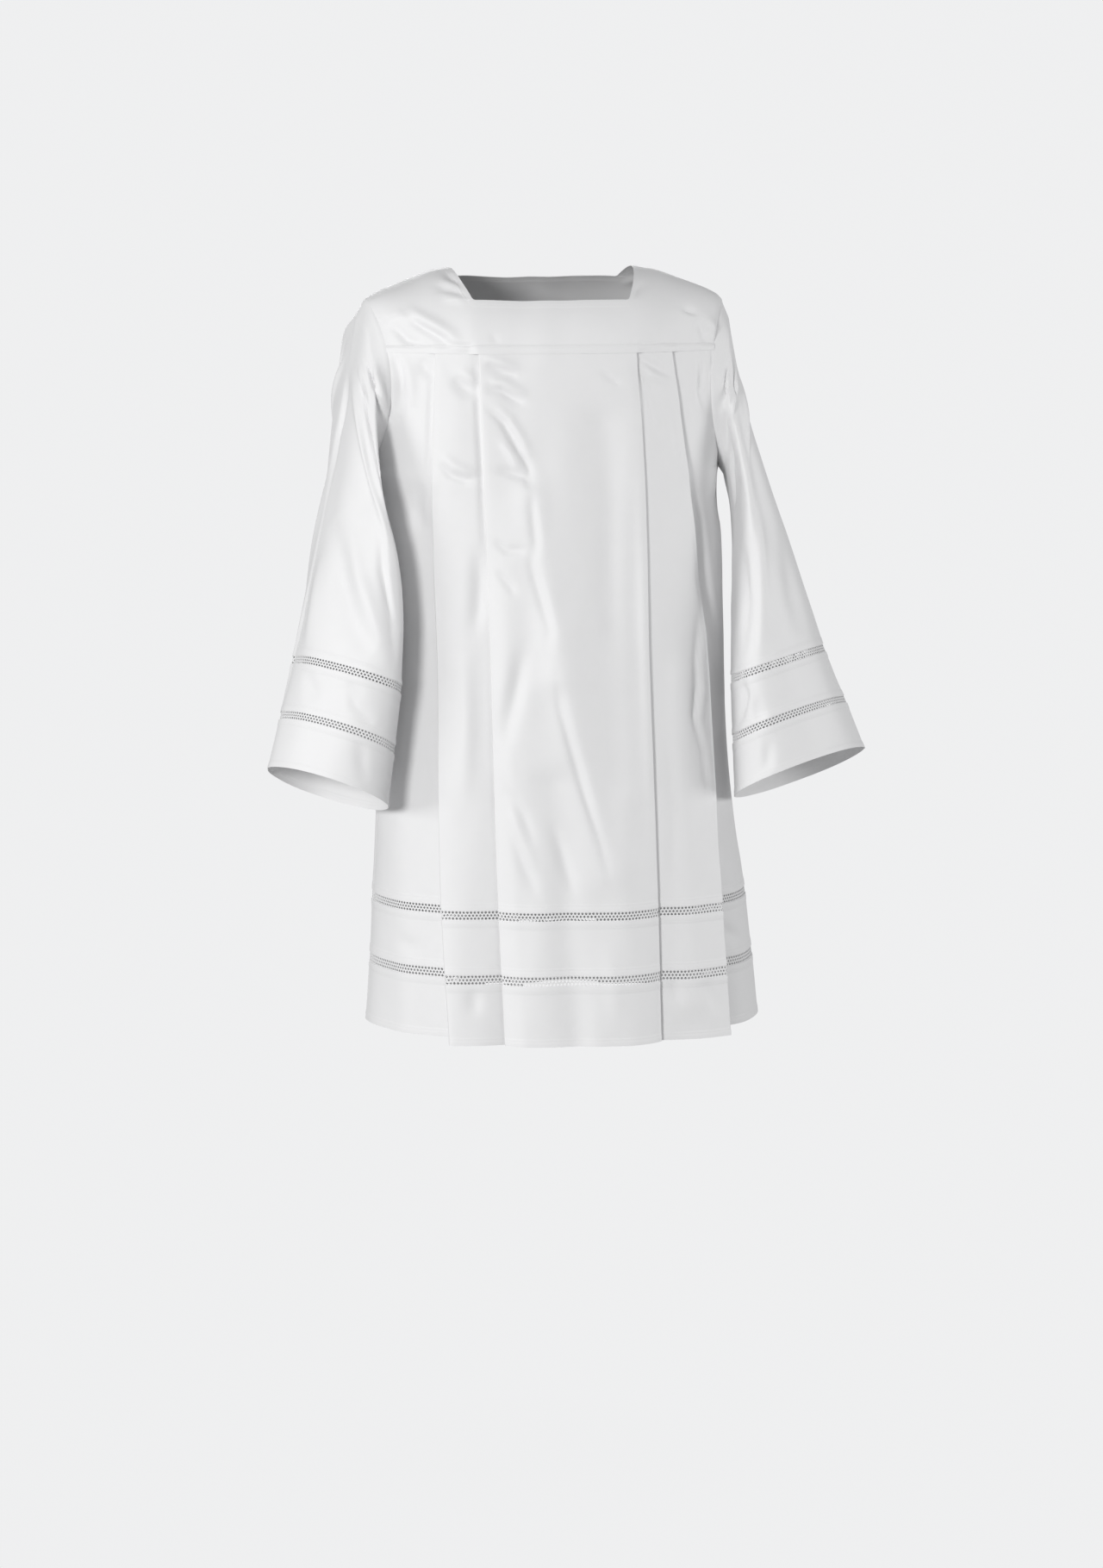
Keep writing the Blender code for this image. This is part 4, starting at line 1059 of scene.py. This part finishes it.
# A part's name, its top and end, the step between its rows, and which of its edges are turned.
Stretch = namedtuple(
    "Stretch", "node top end step band_top band_end", defaults=(None, False, False)
)
SKIRT_CLOTHS = [
    Stretch("panel", None, LACE_UPPER_TOP, None, False, True),
    Stretch("strip", LACE_UPPER_END, LACE_LOWER_TOP, 0.006, True, True),
    Stretch("hem", LACE_LOWER_END, HEM, 0.006, True, True),
]
SKIRT_NETS = [
    Stretch("lace_upper", LACE_UPPER_TOP, LACE_UPPER_END),
    Stretch("lace_lower", LACE_LOWER_TOP, LACE_LOWER_END),
]
UPPER_NET_END, LOWER_NET_TOP, LOWER_NET_END = (
    sleeve_down(way)
    for way in (SLEEVE_LACE_UPPER_END, SLEEVE_LACE_LOWER_TOP, SLEEVE_LACE_LOWER_END)
)
SLEEVE_CLOTHS = [
    Stretch("sleeve", 0.0, sleeve_down(1), 0.0042, False, True),
    Stretch("sleeve_strip", UPPER_NET_END, LOWER_NET_TOP, 0.006, True, True),
    Stretch("cuff", LOWER_NET_END, sleeve_down(CUFF_EDGE), 0.006, True, True),
]
SLEEVE_NETS = [
    Stretch("sleeve_lace_upper", sleeve_down(1), UPPER_NET_END),
    Stretch("sleeve_lace_lower", LOWER_NET_TOP, LOWER_NET_END),
]
PANEL_FINE_END = -0.36
PANEL_STEPS_BY_FACE = {"front": (0.0031, 0.0048), "back": (0.005, 0.006)}
NET_LEVELS = 5


def levels(top, end, step, band_top, band_end):
    """Heights from top to end, closer together across the turned edges, and their lift."""
    first = [top - gap for gap in BAND_ROWS] if band_top else [top]
    last = [end + gap for gap in reversed(BAND_ROWS)] if band_end else [end]
    count = max(round((first[-1] - last[0]) / step), 1)
    heights = np.concatenate([first, np.linspace(first[-1], last[0], count + 1)[1:-1], last])
    lift = np.zeros(len(heights))
    if band_top:
        lift += turned_edge(top - heights)
    if band_end:
        lift += turned_edge(heights - end)
    return heights, lift


def net_levels(top, end):
    return np.linspace(top + TUCK, end - TUCK, NET_LEVELS), np.full(NET_LEVELS, -NET_SINK)


STITCH_PITCH, STITCH_LENGTH, STITCH_WIDTH, STITCH_HEIGHT = 0.0029, 0.0021, 0.00045, 0.0003
# A stitch's corners are its start, its end, its two sides, its top and its underside.
STITCH_FACES = [
    *((0, 4, 2), (2, 4, 1), (1, 4, 3), (3, 4, 0)),
    *((2, 5, 0), (1, 5, 2), (3, 5, 1), (0, 5, 3)),
]


def stitches(name, lines, shader):
    """Small thread stitches along lines of points and their outward directions, as one mesh."""
    points, faces = [], []
    for line, out in lines:
        along = run(np.linalg.norm(np.diff(line, axis=0), axis=1))
        middles = np.arange(STITCH_PITCH / 2, along[-1], STITCH_PITCH)
        start = between(middles - STITCH_LENGTH / 2, along, line)
        end = between(middles + STITCH_LENGTH / 2, along, line)
        lift = unit(between(middles, along, out))
        beside = unit(np.cross(unit(end - start), lift)) * STITCH_WIDTH / 2
        middle = (start + end) / 2 + lift * (CLOTH / 2 + STITCH_HEIGHT / 3)
        start, end = start + lift * CLOTH / 2, end + lift * CLOTH / 2
        high = lift * STITCH_HEIGHT / 2
        corners = [start, end, middle + beside, middle - beside, middle + high, middle - high]
        for one in np.stack(corners, axis=1):
            first = len(points)
            points += list(one)
            for side in STITCH_FACES:
                faces.append([first + corner for corner in side])
    made = piece(name, np.array(points), [np.array(face) for face in faces], shader)
    return made


def stitch_rows(grid, heights, band_top, band_end, ring):
    """The rows of a grid that carry stitches, each with its outward directions."""
    out = outward(grid, ring)
    if ring:
        grid, out = (np.concatenate([field, field[:, :1]], axis=1) for field in (grid, out))
    rows = [BAND_ROWS.index(STITCH_LINE)] * band_top
    rows += [len(heights) - 1 - BAND_ROWS.index(STITCH_LINE)] * band_end
    return [(grid[row], out[row]) for row in rows]


def panel_levels(face, part):
    """Heights of a panel, closer together where its small creases are."""
    fine, coarse = PANEL_STEPS_BY_FACE[face]
    upper, _ = levels(YOKE_SEAM[face] + SKIRT_TUCK, PANEL_FINE_END, fine, False, False)
    lower, lift = levels(PANEL_FINE_END, part.end, coarse, False, True)
    return np.concatenate([upper[:-1], lower]), np.concatenate([0 * upper[:-1], lift])


def dress():
    white = cloth_material("white_cloth", CLOTH_COLOUR, roughness=0.5, weave=900.0)
    thread = cloth_material("net_thread", NET_COLOUR, roughness=0.6, weave=900.0)
    sewing = cloth_material("sewing_thread", SEWING_COLOUR, roughness=0.45, weave=1500.0)
    for place in ("front", "back", "left", "right"):
        ring = place in SLEEVES
        grid_of = sleeve_grid if ring else skirt_grid
        if not ring:
            dress_yoke(place, white, sewing)
        for part in SLEEVE_CLOTHS if ring else SKIRT_CLOTHS:
            node = f"{place}_{part.node}"
            heights, lift = levels(*part[1:]) if part.step else panel_levels(place, part)
            grid = grid_of(place, heights, lift)
            lines = stitch_rows(grid, heights, part.band_top, part.band_end, ring)
            made = shell(f"{node}_cloth", grid, CLOTH, white, ring=ring)
            finish_sheet(made, node, lines, sewing)
        for part in SLEEVE_NETS if ring else SKIRT_NETS:
            node = f"{place}_{part.node}"
            grid = grid_of(place, *net_levels(part.top, part.end))
            finish_sheet(net(f"{node}_net", grid, thread, ring=ring), node)


def dress_yoke(face, white, sewing):
    grid, missing, neck_row, neck_column = yoke_grid(face)
    out = outward(grid, False)
    stitch = BAND_ROWS.index(STITCH_LINE)
    left, right = neck_column - stitch, grid.shape[1] - 1 - (neck_column - stitch)
    row = neck_row + stitch
    path = [(r, left) for r in range(row + 1)]
    path += [(row, c) for c in range(left + 1, right)]
    path += [(r, right) for r in range(row, -1, -1)]
    rows, columns = np.array(path).T
    seam = len(grid) - 2 - stitch
    lines = [(grid[rows, columns], out[rows, columns]), (grid[seam], out[seam])]
    made = shell(f"{face}_yoke_cloth", grid, CLOTH, white, missing=missing)
    finish_sheet(made, f"{face}_yoke", lines, sewing)


def finish_sheet(made, node, lines=(), sewing=None):
    """Hides the solid that the piece stands for and sews its stitches."""
    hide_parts(node)
    sewn = [stitches(f"{node}_stitches", lines, sewing)] if lines else []


make_camera()
make_floor()
make_lights()
dress()
